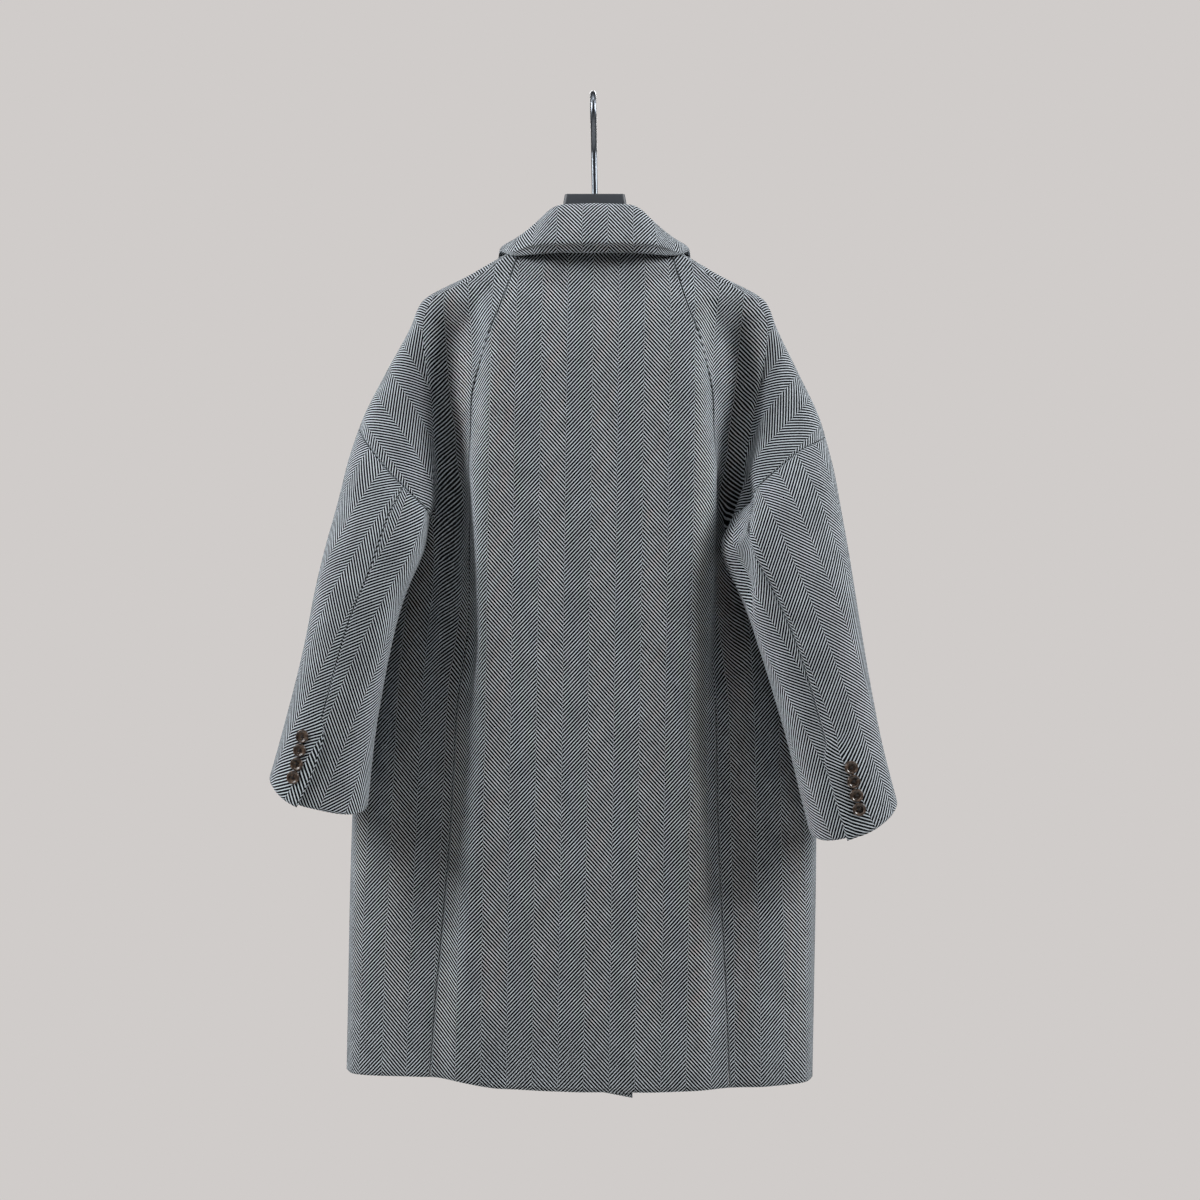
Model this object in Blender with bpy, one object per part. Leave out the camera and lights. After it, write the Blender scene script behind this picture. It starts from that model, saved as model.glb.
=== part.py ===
"""Double-breasted woollen overcoat hanging on a hanger, built panel by panel.

Sizes are in millimetres and are scaled to metres as each mesh is made.  The
origin is the point where the hook bears on its rail.  +Z is up, -Y is the side
of the coat's back, and +X is the wearer's right.  A "drop" is a height below
the origin.
"""
import math

import bmesh
import bpy
import numpy as np
from mathutils import Matrix, Vector

MM = 0.001
LEFT = -1
RIGHT = 1
SIDE_NAMES = {LEFT: "left", RIGHT: "right"}

# Cloth walls and the air between them
CLOTH = 2.4
COLLAR_CLOTH = 3.2
SEAM_GAP = 0.34
LAYER_GAP = 0.5

# Heights that drive the coat
NECK_BACK_DROP = 167.0
NECK_SIDE_DROP = 162.0
ARMHOLE_TOP_DROP = {LEFT: 363.0, RIGHT: 373.0}
UNDERARM_DROP = 494.0
SIDE_FULL_DROP = 560.0
HEM_BACK_DROP = 1083.0
HEM_OUTER_FRONT_DROP = 1094.0
HEM_UNDER_FRONT_DROP = 1113.0
LEAN_TOP = 2.0
LEAN_HEM = -15.0

# Front opening
OVERLAP = 60.0
BREAK_DROP = 470.0
GORGE_DROP = 197.0
GORGE_X = 50.0
NECK_FRONT_X = 71.0
OUTER_LIFT = 1.2
UNDER_LIFT = -2.4

# Arm section: shape of its rounding and the angle where front and back meet
ARM_POWER = 2.3
UNDERARM_ANGLE = 236.0
PATH_STEP = 1.5
BEND = 5.0


def table(columns, *rows):
    """A table as named columns of numbers."""
    return dict(zip(columns.split(), np.array(rows, float).T))


# Arm tube from the neck to the cuff: nearest and farthest reach from the centre
# line, place of its middle in y, half its depth
ARMS = {
    LEFT: table(
        "drop inner outer middle half",
        (162, 42, 78, 0, 17),
        (195, 78, 134, 0, 23),
        (228, 166, 190, -1, 25),
        (255, 180, 201, -2, 27),
        (305, 177, 227, -5, 32),
        (361, 172, 253, -10, 37),
        (400, 171, 264, -16, 40),
        (440, 171, 273, -23, 42),
        (494, 180, 286, -36, 42),
        (540, 196, 295, -47, 40),
        (600, 211, 305, -53, 39),
        (700, 227, 328, -56, 39),
        (790, 235, 352, -59, 38),
        (830, 241, 362, -60, 38),
    ),
    RIGHT: table(
        "drop inner outer middle half",
        (162, 42, 78, 0, 17),
        (195, 78, 134, 0, 23),
        (228, 166, 190, -1, 25),
        (255, 186, 201, -2, 27),
        (305, 183, 226, -5, 32),
        (361, 174, 252, -10, 37),
        (400, 167, 262, -16, 40),
        (440, 162, 270, -23, 42),
        (494, 148, 280, -36, 42),
        (540, 162, 287, -47, 40),
        (600, 183, 297, -53, 39),
        (700, 215, 317, -56, 39),
        (790, 239, 341, -59, 38),
        (830, 250, 351, -60, 38),
    ),
}

# Back of the body: reach and depth of the raised middle, the dip beside it and
# the flank that runs out to the shoulder fold or the side seam
BACK = table(
    "drop centre raised_x raised dip_x dip flank_x flank",
    (162, 38, 26, 37, 46, 30, 56, 22),
    (195, 46, 45, 42, 78, 33, 96, 28),
    (228, 53, 70, 49, 115, 41, 150, 32),
    (255, 57, 85, 53, 120, 45, 155, 34),
    (305, 60, 95, 58, 129, 47, 155, 34),
    (361, 62, 100, 60, 139, 44, 158, 29),
    (400, 63, 103, 61, 141, 41, 156, 25),
    (440, 64, 105, 62, 142, 38, 154, 20),
    (494, 65, 106, 63, 141, 35, 157, 14),
    (540, 66, 107, 64, 141, 34, 162, 13),
    (600, 66, 107, 64, 140, 33, 168, 20),
    (700, 66, 107, 64, 140, 36, 178, 32),
    (790, 65, 110, 63, 145, 38, 185, 36),
    (900, 63, 117, 61, 151, 42, 195, 39),
    (1000, 61, 123, 59, 158, 45, 200, 41),
    (1120, 59, 128, 57, 163, 48, 205, 43),
)

# Front of the body: depth of its flat middle and of the flank
FRONT = table(
    "drop centre flat_x flat flank_x flank",
    (162, 32, 25, 31, 48, 25),
    (195, 37, 50, 35, 85, 28),
    (228, 40, 90, 38, 140, 31),
    (255, 41, 100, 39, 150, 32),
    (305, 42, 110, 40, 155, 31),
    (361, 42, 115, 40, 157, 28),
    (400, 43, 118, 41, 156, 25),
    (440, 43, 120, 41, 154, 22),
    (494, 43, 120, 41, 160, 25),
    (540, 43, 122, 41, 176, 30),
    (600, 44, 125, 42, 185, 32),
    (700, 44, 130, 42, 205, 34),
    (790, 44, 135, 42, 215, 34),
    (900, 43, 138, 41, 218, 33),
    (1120, 40, 140, 39, 220, 30),
)

# Side seam below the underarm
SIDE = table(
    "drop x y",
    (540, 222, 13),
    (600, 238, 10),
    (700, 250, 3),
    (790, 256, -1),
    (900, 257, -1),
    (1120, 257, -1),
)

# Reach of the long back seam
BACK_SEAM = table(
    "drop x",
    (162, 70),
    (174, 83),
    (200, 91),
    (230, 100),
    (282, 121),
    (335, 137),
    (400, 141),
    (470, 142),
    (590, 140),
    (770, 144),
    (880, 150),
    (985, 157),
    (1120, 164),
)

# Angle around the arm where the body's cloth folds into the dropped shoulder
FOLD_ANGLE = table(
    "drop back front",
    (162, 34, 34),
    (195, 62, 62),
    (228, 90, 90),
    (255, 112, 105),
    (305, 142, 120),
    (361, 162, 124),
    (400, 174, 122),
    (440, 188, 117),
    (470, 207, 117),
    (494, UNDERARM_ANGLE, 360 - UNDERARM_ANGLE),
)

# Armhole: share of its drop against the share of the way from fold to shoulder
ARMHOLE = {
    "back": table(
        "way left right",
        (0.00, 1.00, 1.00),
        (0.12, 0.84, 0.76),
        (0.22, 0.71, 0.57),
        (0.33, 0.58, 0.40),
        (0.43, 0.46, 0.28),
        (0.55, 0.31, 0.16),
        (0.68, 0.17, 0.09),
        (0.83, 0.06, 0.04),
        (1.00, 0.00, 0.00),
    ),
    "front": table(
        "way left right",
        (0.00, 1.00, 1.00),
        (0.15, 0.83, 0.83),
        (0.35, 0.55, 0.55),
        (0.55, 0.30, 0.30),
        (0.78, 0.09, 0.09),
        (1.00, 0.00, 0.00),
    ),
}

# Back seam of each sleeve: angle around the arm against the way to the cuff
SLEEVE_SEAM = {
    LEFT: table(
        "way angle",
        (0.00, 145),
        (0.10, 117),
        (0.25, 97),
        (0.50, 87),
        (0.75, 83),
        (0.88, 80),
        (1.00, 71),
    ),
    RIGHT: table(
        "way angle",
        (0.00, 183),
        (0.15, 133),
        (0.30, 113),
        (0.50, 104),
        (0.80, 101),
        (1.00, 97),
    ),
}
FRONT_SEAM_CUFF_ANGLE = -110.0
SEAM_COLUMN = {LEFT: 3, RIGHT: 2}
FRONT_SEAM_COLUMN = 4
SLEEVE_LENGTH = 330.0
CUFF_OUTER_DROP = {LEFT: 741.0, RIGHT: 767.0}
CUFF_SLANT = {LEFT: 34.0, RIGHT: 36.0}
CUFF_BACK_DROOP = 15.0

# Collar, half of it, against the way along the neck from the centre back
COLLAR = table(
    "way roll_x roll_y roll_drop edge_x edge_y edge_drop",
    (0.00, 0, -44, 124, 0, -60, 181),
    (0.25, 36, -42, 125, 54, -57, 181),
    (0.45, 54, -28, 133, 90, -38, 178),
    (0.58, 61, -2, 144, 105, 0, 172),
    (0.72, 63, 22, 156, 110, 34, 190),
    (0.87, 58, 40, 176, 104, 49, 220),
    (1.00, 51, 47, 194, 94, 51, 242),
)
COLLAR_BEND = 5.0
COLLAR_BELLY = 3.0
COLLAR_CLEAR = 0.8

# Free edge of the fronts: reach past the centre line, less than 0 beyond it
FRONT_EDGE = table(
    "drop x",
    (NECK_SIDE_DROP, NECK_FRONT_X),
    (GORGE_DROP, GORGE_X),
    (BREAK_DROP, -OVERLAP),
    (1200, -OVERLAP),
)

# Lapel: its top at the roll line, its notch corner, its belly and its lower end
LAPEL_TOP_DROP = 206.0
LAPEL_TIP = {"x": 112.0, "drop": 292.0}
LAPEL_BELLY = 7.0
LAPEL_END_DROP = {LEFT: 376.0, RIGHT: 462.0}
LAPEL_END_WIDTH = 6.0
LAPEL_FROM_ROLL = 3.0
LAPEL_ROWS = 13
LAPEL_COLUMNS = 6

# Grid lines: rows at the body's fold and at the shoulder, down to the underarm
UPPER_ROWS = table(
    "fold shoulder",
    (162, 162),
    (175, 171),
    (190, 182),
    (208, 195),
    (228, 211),
    (252, 228),
    (280, 243),
    (312, 260),
    (346, 280),
    (382, 301),
    (420, 323),
    (458, 346),
    (494, 368),
)
# Back hem, from the centre back over the back seam to the side seam
HEM = table(
    "way left right",
    (0.0, HEM_BACK_DROP, HEM_BACK_DROP),
    (0.3, 1080, 1083),
    (0.6, 1069, 1081),
    (1.0, 1072, 1080),
)
LOWER_SHARES = np.array([0.035, 0.085, 0.15, 0.23, 0.33, 0.45, 0.58, 0.72, 0.86, 1.0])
CENTRE_SHARES = np.array([0.0, 0.26, 0.5, 0.68, 0.84, 1.0])
FLANK_SHARES = np.linspace(0.0, 1.0, 6)
CAP_SHARES = np.array([0.0, 0.12, 0.225, 0.386, 0.53, 0.68, 0.84, 1.0])
FRONT_SHARES = np.array([0.0, 0.17, 0.34, 0.5, 0.64, 0.77, 0.89, 1.0])
FRONT_CAP_SHARES = np.array([0.0, 0.17, 0.34, 0.5, 0.67, 0.83, 1.0])
SLEEVE_WAYS = np.array([0.0, 0.07, 0.15, 0.25, 0.37, 0.5, 0.64, 0.78, 0.9, 1.0])

# Buttons
CUFF_BUTTON = {"radius": 7.2, "thick": 3.0}
CUFF_BUTTON_COUNT = 4
CUFF_BUTTON_PITCH = 14.9
CUFF_BUTTON_FROM_EDGE = 29.0
CUFF_BUTTON_FROM_SEAM = {"low": 9.5, "high": 13.5}
FRONT_BUTTON = {"radius": 14.0, "thick": 4.4}
FRONT_BUTTON_X = 38.0
FRONT_BUTTON_DROPS = (492.0, 612.0, 732.0)
BUTTON_STEPS = 14

# Hanger
HANGER_END = 183.0
HANGER_ROUND_FROM = 170.0
SHOULDER_SLOPE = 0.589
SHOULDER_START = 78.0
HANGER_CLEAR = 3.25
HANGER_HUMP_DROP = 130.0
HANGER_HUMP_CURVE = 0.0105
HANGER_HALF_DEPTH = {"middle": 9.0, "end": 16.0}
HANGER_HALF_HEIGHT = 12.0
HANGER_STATIONS = 12
HANGER_SIDES = 12
BLOCK_TOP_DROP = 108.0
BLOCK_BOTTOM_DROP = 129.7
BLOCK_TOP_HALF = 33.0
BLOCK_BOTTOM_HALF = 37.0
BLOCK_HALF_DEPTH = 9.0
WIRE = 3.3
HOOK_RADIUS = 18.0
HOOK_STEM_DROP = 64.0

# Colours are linear RGB
WOOL_COLOUR = (0.135, 0.145, 0.155)
COLLAR_COLOUR = (0.165, 0.172, 0.185)
HORN_COLOUR = (0.028, 0.016, 0.010)
HANGER_COLOUR = (0.080, 0.088, 0.100)
CHROME_COLOUR = (0.62, 0.63, 0.65)


def smooth(places, values, at):
    """Values between table rows, by a cubic that never overshoots them."""
    step = np.diff(places)
    rate = np.diff(values) / step
    slope = np.zeros(len(places))
    slope[0], slope[-1] = rate[0], rate[-1]
    same = rate[:-1] * rate[1:] > 0
    total = np.where(same, rate[:-1] + rate[1:], 1.0)
    slope[1:-1] = np.where(same, 2 * rate[:-1] * rate[1:] / total, 0.0)
    at = np.clip(at, places[0], places[-1])
    k = np.clip(np.searchsorted(places, at, side="right") - 1, 0, len(step) - 1)
    u = (at - places[k]) / step[k]
    start = (1 + 2 * u) * (1 - u) ** 2 * values[k] + u * (1 - u) ** 2 * step[k] * slope[k]
    end = u * u * (3 - 2 * u) * values[k + 1] + u * u * (u - 1) * step[k] * slope[k + 1]
    return start + end


def look(tab, column, at, key="drop"):
    return smooth(tab[key], tab[column], at)


def ramp(value, low, high):
    u = np.clip((value - low) / (high - low), 0.0, 1.0)
    return u * u * (3 - 2 * u)


def centre_line(drop):
    """The coat hangs a little to one side, so its middle drifts with the drop."""
    share = (drop - NECK_SIDE_DROP) / (HEM_BACK_DROP - NECK_SIDE_DROP)
    return LEAN_TOP + (LEAN_HEM - LEAN_TOP) * share


def place(side, x, y, drop):
    """A point of the coat in the part's frame."""
    return np.array([centre_line(drop) + side * x, y, -drop])


def arm_point(side, angle, drop):
    """Angle 0 is the outer side, 90 the back, 180 the side next to the body."""
    inner = look(ARMS[side], "inner", drop)
    outer = look(ARMS[side], "outer", drop)
    cosine = np.cos(np.radians(angle))
    sine = np.sin(np.radians(angle))
    x = (inner + outer) / 2 + (outer - inner) / 2 * np.sign(cosine) * np.abs(cosine) ** (2 / ARM_POWER)
    reach = np.sign(sine) * np.abs(sine) ** (2 / ARM_POWER)
    y = look(ARMS[side], "middle", drop) - look(ARMS[side], "half", drop) * reach
    return x, y


def run_through(points):
    """An even run of points along a smooth line through the given ones."""
    points = np.array(points, float)
    way = np.concatenate([[0], np.cumsum(np.hypot(*np.diff(points, axis=0).T))])
    fine = np.linspace(0, way[-1], 160)
    return np.column_stack([smooth(way, points[:, k], fine) for k in range(2)])


def even(points):
    """The same line with points about PATH_STEP apart."""
    way = np.concatenate([[0], np.cumsum(np.hypot(*np.diff(points, axis=0).T))])
    count = max(int(way[-1] / PATH_STEP), 8)
    at = np.linspace(0, way[-1], count + 1)
    return np.column_stack([np.interp(at, way, points[:, k]) for k in range(2)])


def soften(line, fold):
    """Round the folds of a section, leaving its outer end where it is."""
    reach = int(3 * BEND / PATH_STEP)
    weights = np.exp(-0.5 * (np.arange(-reach, reach + 1) * PATH_STEP / BEND) ** 2)
    weights /= weights.sum()
    before = line[1:reach + 1][::-1] * (-1, 1)
    after = 2 * line[-1] - line[-reach - 1:-1][::-1]
    padded = np.vstack([before, line, after])
    soft = np.column_stack([np.convolve(padded[:, k], weights, "valid") for k in range(2)])
    left = np.arange(len(line))[::-1] * PATH_STEP
    share = ramp(left, 4.0, max(0.6 * fold, 30.0))[:, None]
    return line + (soft - line) * share


SECTIONS = {}


def section(side, face, drop):
    """Half of the coat's section at a drop: its line, and where its fold or side lies."""
    key = (side, face, round(float(drop), 2))
    if key in SECTIONS:
        return SECTIONS[key]
    if face == "back":
        middle = [(0, -look(BACK, "centre", drop))]
        for name in ("raised", "dip", "flank"):
            middle.append((look(BACK, name + "_x", drop), -look(BACK, name, drop)))
    else:
        middle = [(0, look(FRONT, "centre", drop))]
        for name in ("flat", "flank"):
            middle.append((look(FRONT, name + "_x", drop), look(FRONT, name, drop)))
    turn = 1 if face == "back" else -1
    if drop <= UNDERARM_DROP:
        fold_angle = look(FOLD_ANGLE, face, drop)
        angles = np.linspace(fold_angle, 0, 60) * turn
        cap = np.column_stack(arm_point(side, angles, drop))
        body = even(run_through(middle + [cap[0]]))
        cap = even(cap)
        line = np.vstack([body, cap[1:]])
        fold = len(body) - 1
        soft = soften(line, (len(cap) - 1) * PATH_STEP)
        near = np.exp(-((np.arange(len(line)) - fold) * PATH_STEP / 14.0) ** 2)[:, None]
        line = soft + (line[fold] - soft[fold]) * near * ramp(drop, 450.0, UNDERARM_DROP)
    else:
        share = ramp(drop, UNDERARM_DROP, SIDE_FULL_DROP)
        early = 1 - (1 - min((drop - UNDERARM_DROP) / (SIDE_FULL_DROP - UNDERARM_DROP), 1.0)) ** 3
        start = arm_point(side, UNDERARM_ANGLE, UNDERARM_DROP)
        side_x = start[0] + (look(SIDE, "x", drop) - start[0]) * share
        side_y = start[1] + (look(SIDE, "y", drop) - start[1]) * early
        flank = middle[-1]
        round_out = 0.35 + 0.2 * ramp(drop, UNDERARM_DROP, 620.0)
        corner = (side_x - 8, side_y + round_out * (flank[1] - side_y))
        line = soften(even(run_through(middle + [corner, (side_x, side_y)])), 0)
        fold = len(line) - 1
    SECTIONS[key] = (line, fold)
    return SECTIONS[key]


def along(line, at):
    """A point of a section at a whole or part index."""
    k = np.arange(len(line))
    return np.array([np.interp(at, k, line[:, 0]), np.interp(at, k, line[:, 1])])


def index_at_x(line, x, last):
    """Where a section first reaches x."""
    k = int(np.argmax(line[:last + 1, 0] >= x))
    if k == 0:
        return 0.0
    return k - 1 + (x - line[k - 1, 0]) / (line[k, 0] - line[k - 1, 0])


def back_point(side, block, share, drop):
    """A point of the back: from the centre to the seam, to the fold, to the shoulder."""
    line, fold = section(side, "back", drop)
    seam = index_at_x(line, look(BACK_SEAM, "x", drop), len(line) - 1)
    seam = min(seam, fold - 2.0)
    stops = {"centre": (0.0, seam), "flank": (seam, fold), "cap": (fold, len(line) - 1)}
    start, end = stops[block]
    x, y = along(line, start + (end - start) * share)
    return place(side, x, y, drop)


def front_edge(drop):
    """Reach of the front's free edge past the centre, less than 0 beyond it."""
    return np.interp(drop, FRONT_EDGE["drop"], FRONT_EDGE["x"])


def front_lift(side, x):
    """The outer front lies over the under one, so the two part around the middle."""
    amount = OUTER_LIFT if side == RIGHT else UNDER_LIFT
    return amount * (1 - ramp(x, OVERLAP + 12, OVERLAP + 70))


def front_point(side, block, share, drop):
    """A point of the front: from its free edge to the fold, to the shoulder."""
    line, fold = section(side, "front", drop)
    if block == "cap":
        x, y = along(line, fold + (len(line) - 1 - fold) * share)
        return place(side, x, y, drop)
    edge = front_edge(drop)
    if edge >= 0:
        start = index_at_x(line, edge, len(line) - 1)
    else:
        start = -index_at_x(line, -edge, len(line) - 1)
    at = start + (fold - start) * share
    x, y = along(line, abs(at))
    x = math.copysign(x, at)
    return place(side, x, y + front_lift(side, x), drop)


def hem_drop(side, face, share):
    """Drop of the hem, from the centre or free edge to the side seam."""
    if face == "back":
        return look(HEM, SIDE_NAMES[side], share, key="way")
    low = HEM_OUTER_FRONT_DROP if side == RIGHT else HEM_UNDER_FRONT_DROP
    high = HEM[SIDE_NAMES[side]][-1]
    return high + (low - high) * (1 - share) ** 1.6


def cap_drop(side, face, fold, shoulder, share):
    """Rows bend up from the fold to the shoulder as the armhole does."""
    return shoulder + (fold - shoulder) * look(ARMHOLE[face], SIDE_NAMES[side], share, key="way")


def upper_rows(side):
    """Drops of the upper rows at the fold and at the shoulder of one side."""
    stretch = (ARMHOLE_TOP_DROP[side] - NECK_SIDE_DROP) / (UPPER_ROWS["shoulder"][-1] - NECK_SIDE_DROP)
    shoulders = NECK_SIDE_DROP + (UPPER_ROWS["shoulder"] - NECK_SIDE_DROP) * stretch
    return list(zip(UPPER_ROWS["fold"], shoulders))


def back_grids(side):
    """Centre, flank and cap grids of one half of the back, row by row."""
    centre, flank, cap = [], [], []
    for fold, shoulder in upper_rows(side):
        sag = (NECK_BACK_DROP - NECK_SIDE_DROP) * (1 - ramp(fold, 162, 230))
        centre.append([back_point(side, "centre", s, fold + sag * (1 - s * s)) for s in CENTRE_SHARES])
        flank.append([back_point(side, "flank", s, fold) for s in FLANK_SHARES])
        drops = cap_drop(side, "back", fold, shoulder, CAP_SHARES)
        cap.append([back_point(side, "cap", s, d) for s, d in zip(CAP_SHARES, drops)])
    for share in LOWER_SHARES:
        row = []
        for block, shares, low, high in (("centre", CENTRE_SHARES, 0, 0.6), ("flank", FLANK_SHARES, 0.6, 1)):
            hems = [hem_drop(side, "back", low + (high - low) * s) for s in shares]
            drops = [UNDERARM_DROP + (hem - UNDERARM_DROP) * share for hem in hems]
            row.append([back_point(side, block, s, d) for s, d in zip(shares, drops)])
        centre.append(row[0])
        flank.append(row[1])
    return np.array(centre), np.array(flank), np.array(cap)


def front_grids(side):
    """Body and cap grids of one front."""
    body, cap = [], []
    for fold, shoulder in upper_rows(side):
        body.append([front_point(side, "body", s, fold) for s in FRONT_SHARES])
        drops = cap_drop(side, "front", fold, shoulder, FRONT_CAP_SHARES)
        cap.append([front_point(side, "cap", s, d) for s, d in zip(FRONT_CAP_SHARES, drops)])
    for share in LOWER_SHARES:
        hems = [hem_drop(side, "front", s) for s in FRONT_SHARES]
        drops = [UNDERARM_DROP + (hem - UNDERARM_DROP) * share for hem in hems]
        body.append([front_point(side, "body", s, d) for s, d in zip(FRONT_SHARES, drops)])
    return np.array(body), np.array(cap)


def cuff_drop(side, angle):
    around = np.radians(angle)
    slant = CUFF_SLANT[side] * (1 - np.cos(around)) / 2
    return CUFF_OUTER_DROP[side] + slant + CUFF_BACK_DROOP * np.sin(around)


def sleeve_grid(side, armhole, angles, front_seam):
    """Rows of a sleeve from the armhole's own points to the cuff.

    The columns run around the arm from its back seam over the outer side to the
    front seam, then under the arm and back to where they began.
    """
    count = len(angles)
    tops = -armhole[:, 2]
    first = np.array([place(side, *arm_point(side, a, d), d) for a, d in zip(angles, tops)])
    rows = []
    for way in SLEEVE_WAYS:
        seam_angle = look(SLEEVE_SEAM[side], "angle", way, key="way")
        front_angle = angles[front_seam] + (FRONT_SEAM_CUFF_ANGLE - angles[front_seam]) * way
        row = []
        for k in range(count):
            if k <= front_seam:
                top_share = (angles[0] - angles[k]) / (angles[0] - angles[front_seam])
                share = top_share + (k / front_seam - top_share) * ramp(way, 0, 0.6)
                angle = seam_angle + (front_angle - seam_angle) * share
            else:
                lower = count - front_seam
                top_share = (angles[front_seam] - angles[k]) / (angles[front_seam] - angles[0] + 360)
                share = top_share + ((k - front_seam) / lower - top_share) * ramp(way, 0, 0.6)
                angle = front_angle + (seam_angle - 360 - front_angle) * share
            drop = tops[k] + (cuff_drop(side, angle) - tops[k]) * way
            point = place(side, *arm_point(side, angle, drop), drop)
            row.append(point + (armhole[k] - first[k]) * (1 - ramp(way, 0, 0.3)))
        rows.append(row)
    rows[0] = list(armhole)
    return np.array(rows)


class Shell:
    """All panels of the coat as one skin, so that walls at a seam share a direction."""

    def __init__(self):
        self.panels = {}
        self.normal = {}
        self.own = {}
        self.nudge = {}

    @staticmethod
    def key(point):
        return tuple(np.round(point, 2))

    def add(self, name, grid, flip):
        quads = self.panels.setdefault(name, [])
        rows, columns = grid.shape[:2]
        for r in range(rows - 1):
            for c in range(columns - 1):
                corners = [grid[r, c], grid[r + 1, c], grid[r + 1, c + 1], grid[r, c + 1]]
                if flip:
                    corners.reverse()
                quads.append(corners)
                across = np.cross(corners[2] - corners[0], corners[3] - corners[1])
                for corner in corners:
                    k = self.key(corner)
                    self.normal[k] = self.normal.get(k, 0) + across

    def solid(self, name, colour, thick=CLOTH):
        """A closed wall from one panel, drawn in from its neighbours at the edges."""
        index, points, faces = {}, [], []
        for quad in self.panels[name]:
            face = []
            for corner in quad:
                k = self.key(corner)
                if k not in index:
                    index[k] = len(points)
                    points.append(corner)
                face.append(index[k])
            faces.append(face)
        points = np.array(points)
        order = sorted(index, key=index.get)
        normals = np.array([self.own.get((name, k), self.normal[k]) for k in order])
        normals /= np.linalg.norm(normals, axis=1)[:, None]
        nudges = {index[k]: shift for (panel, k), shift in self.nudge.items() if panel == name}
        return wall(name, points, normals, faces, thick, SEAM_GAP / 2, colour, nudges)


def wall(name, points, normals, faces, thick, inset, colour, nudges=None):
    """Give a patch of faces its thickness on the side away from its normals."""
    edges = {}
    for face in faces:
        for a, b in zip(face, face[1:] + face[:1]):
            edges.setdefault((min(a, b), max(a, b)), []).append((a, b, face))
    rim = [uses[0] for uses in edges.values() if len(uses) == 1]
    pull = np.zeros_like(points)
    for a, b, face in rim:
        run = points[b] - points[a]
        inward = points[face].mean(axis=0) - (points[a] + points[b]) / 2
        inward -= run * (inward @ run) / (run @ run)
        inward /= np.linalg.norm(inward)
        for k in (a, b):
            pull[k] += inward
    length = np.linalg.norm(pull, axis=1)
    on_rim = length > 1e-6
    pull[on_rim] *= (inset * np.minimum(2 / length[on_rim], 2.0) / length[on_rim])[:, None]
    for k, shift in (nudges or {}).items():
        pull[k] = shift
    outer = points + pull
    inner = outer - normals * thick
    count = len(points)
    mesh = bpy.data.meshes.new(name)
    all_faces = list(faces)
    all_faces += [[k + count for k in reversed(face)] for face in faces]
    rank = points @ (0.37, 0.53, 0.76)
    for a, b, face in rim:
        if rank[a] < rank[b]:
            all_faces += [[b, a, a + count], [b, a + count, b + count]]
        else:
            all_faces += [[b, a, b + count], [a, a + count, b + count]]
    mesh.from_pydata((np.vstack([outer, inner]) * MM).tolist(), [], all_faces)
    return finish(name, mesh, colour, 0.9, 0.0)


def material(name, colour, roughness, metallic):
    made = bpy.data.materials.new(name)
    made.use_nodes = True
    shader = made.node_tree.nodes["Principled BSDF"]
    shader.inputs["Base Color"].default_value = (*colour, 1.0)
    shader.inputs["Roughness"].default_value = roughness
    shader.inputs["Metallic"].default_value = metallic
    return made


def finish(name, mesh, colour, roughness, metallic):
    """An object for a mesh, closed and facing out, with its own material."""
    work = bmesh.new()
    work.from_mesh(mesh)
    bmesh.ops.triangulate(work, faces=work.faces)
    bmesh.ops.recalc_face_normals(work, faces=work.faces)
    work.to_mesh(mesh)
    work.free()
    made = bpy.data.objects.new(name, mesh)
    made.data.materials.append(material(name, colour, roughness, metallic))
    bpy.context.scene.collection.objects.link(made)
    return made


def grid_wall(name, visible, thick, colour):
    """A wall from a grid of visible points, with normals from the grid itself."""
    rows, columns = visible.shape[:2]
    down = np.gradient(visible, axis=0)
    across = np.gradient(visible, axis=1)
    normals = np.cross(down, across).reshape(-1, 3)
    normals /= np.linalg.norm(normals, axis=1)[:, None]
    faces = []
    for r in range(rows - 1):
        for c in range(columns - 1):
            k = r * columns + c
            faces.append([k, k + columns, k + columns + 1, k + 1])
    return wall(name, visible.reshape(-1, 3), normals, faces, thick, 0.0, colour)


def sleeve_panels(shell, side, back_cap, front_cap):
    """Add the two panels of a sleeve, hung from the caps' lower edges."""
    back = back_cap[-1]
    front = front_cap[-1]
    back_angles = UNDERARM_ANGLE * (1 - CAP_SHARES)
    front_angles = -(360 - UNDERARM_ANGLE) * (1 - FRONT_CAP_SHARES)
    seam = SEAM_COLUMN[side]
    armhole = np.vstack([back[seam:], front[::-1][1:], back[1:seam]])
    under = np.concatenate([front_angles[::-1][1:], back_angles[1:seam] - 360])
    angles = np.concatenate([back_angles[seam:], under])
    front_seam = len(back) - seam - 1 + FRONT_SEAM_COLUMN
    grid = sleeve_grid(side, armhole, angles, front_seam)
    closed = np.concatenate([grid, grid[:, :1]], axis=1)
    label = SIDE_NAMES[side]
    shell.add("upper_sleeve_" + label, closed[:, :front_seam + 1], side == LEFT)
    shell.add("under_sleeve_" + label, closed[:, front_seam:], side == LEFT)
    return closed


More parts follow.
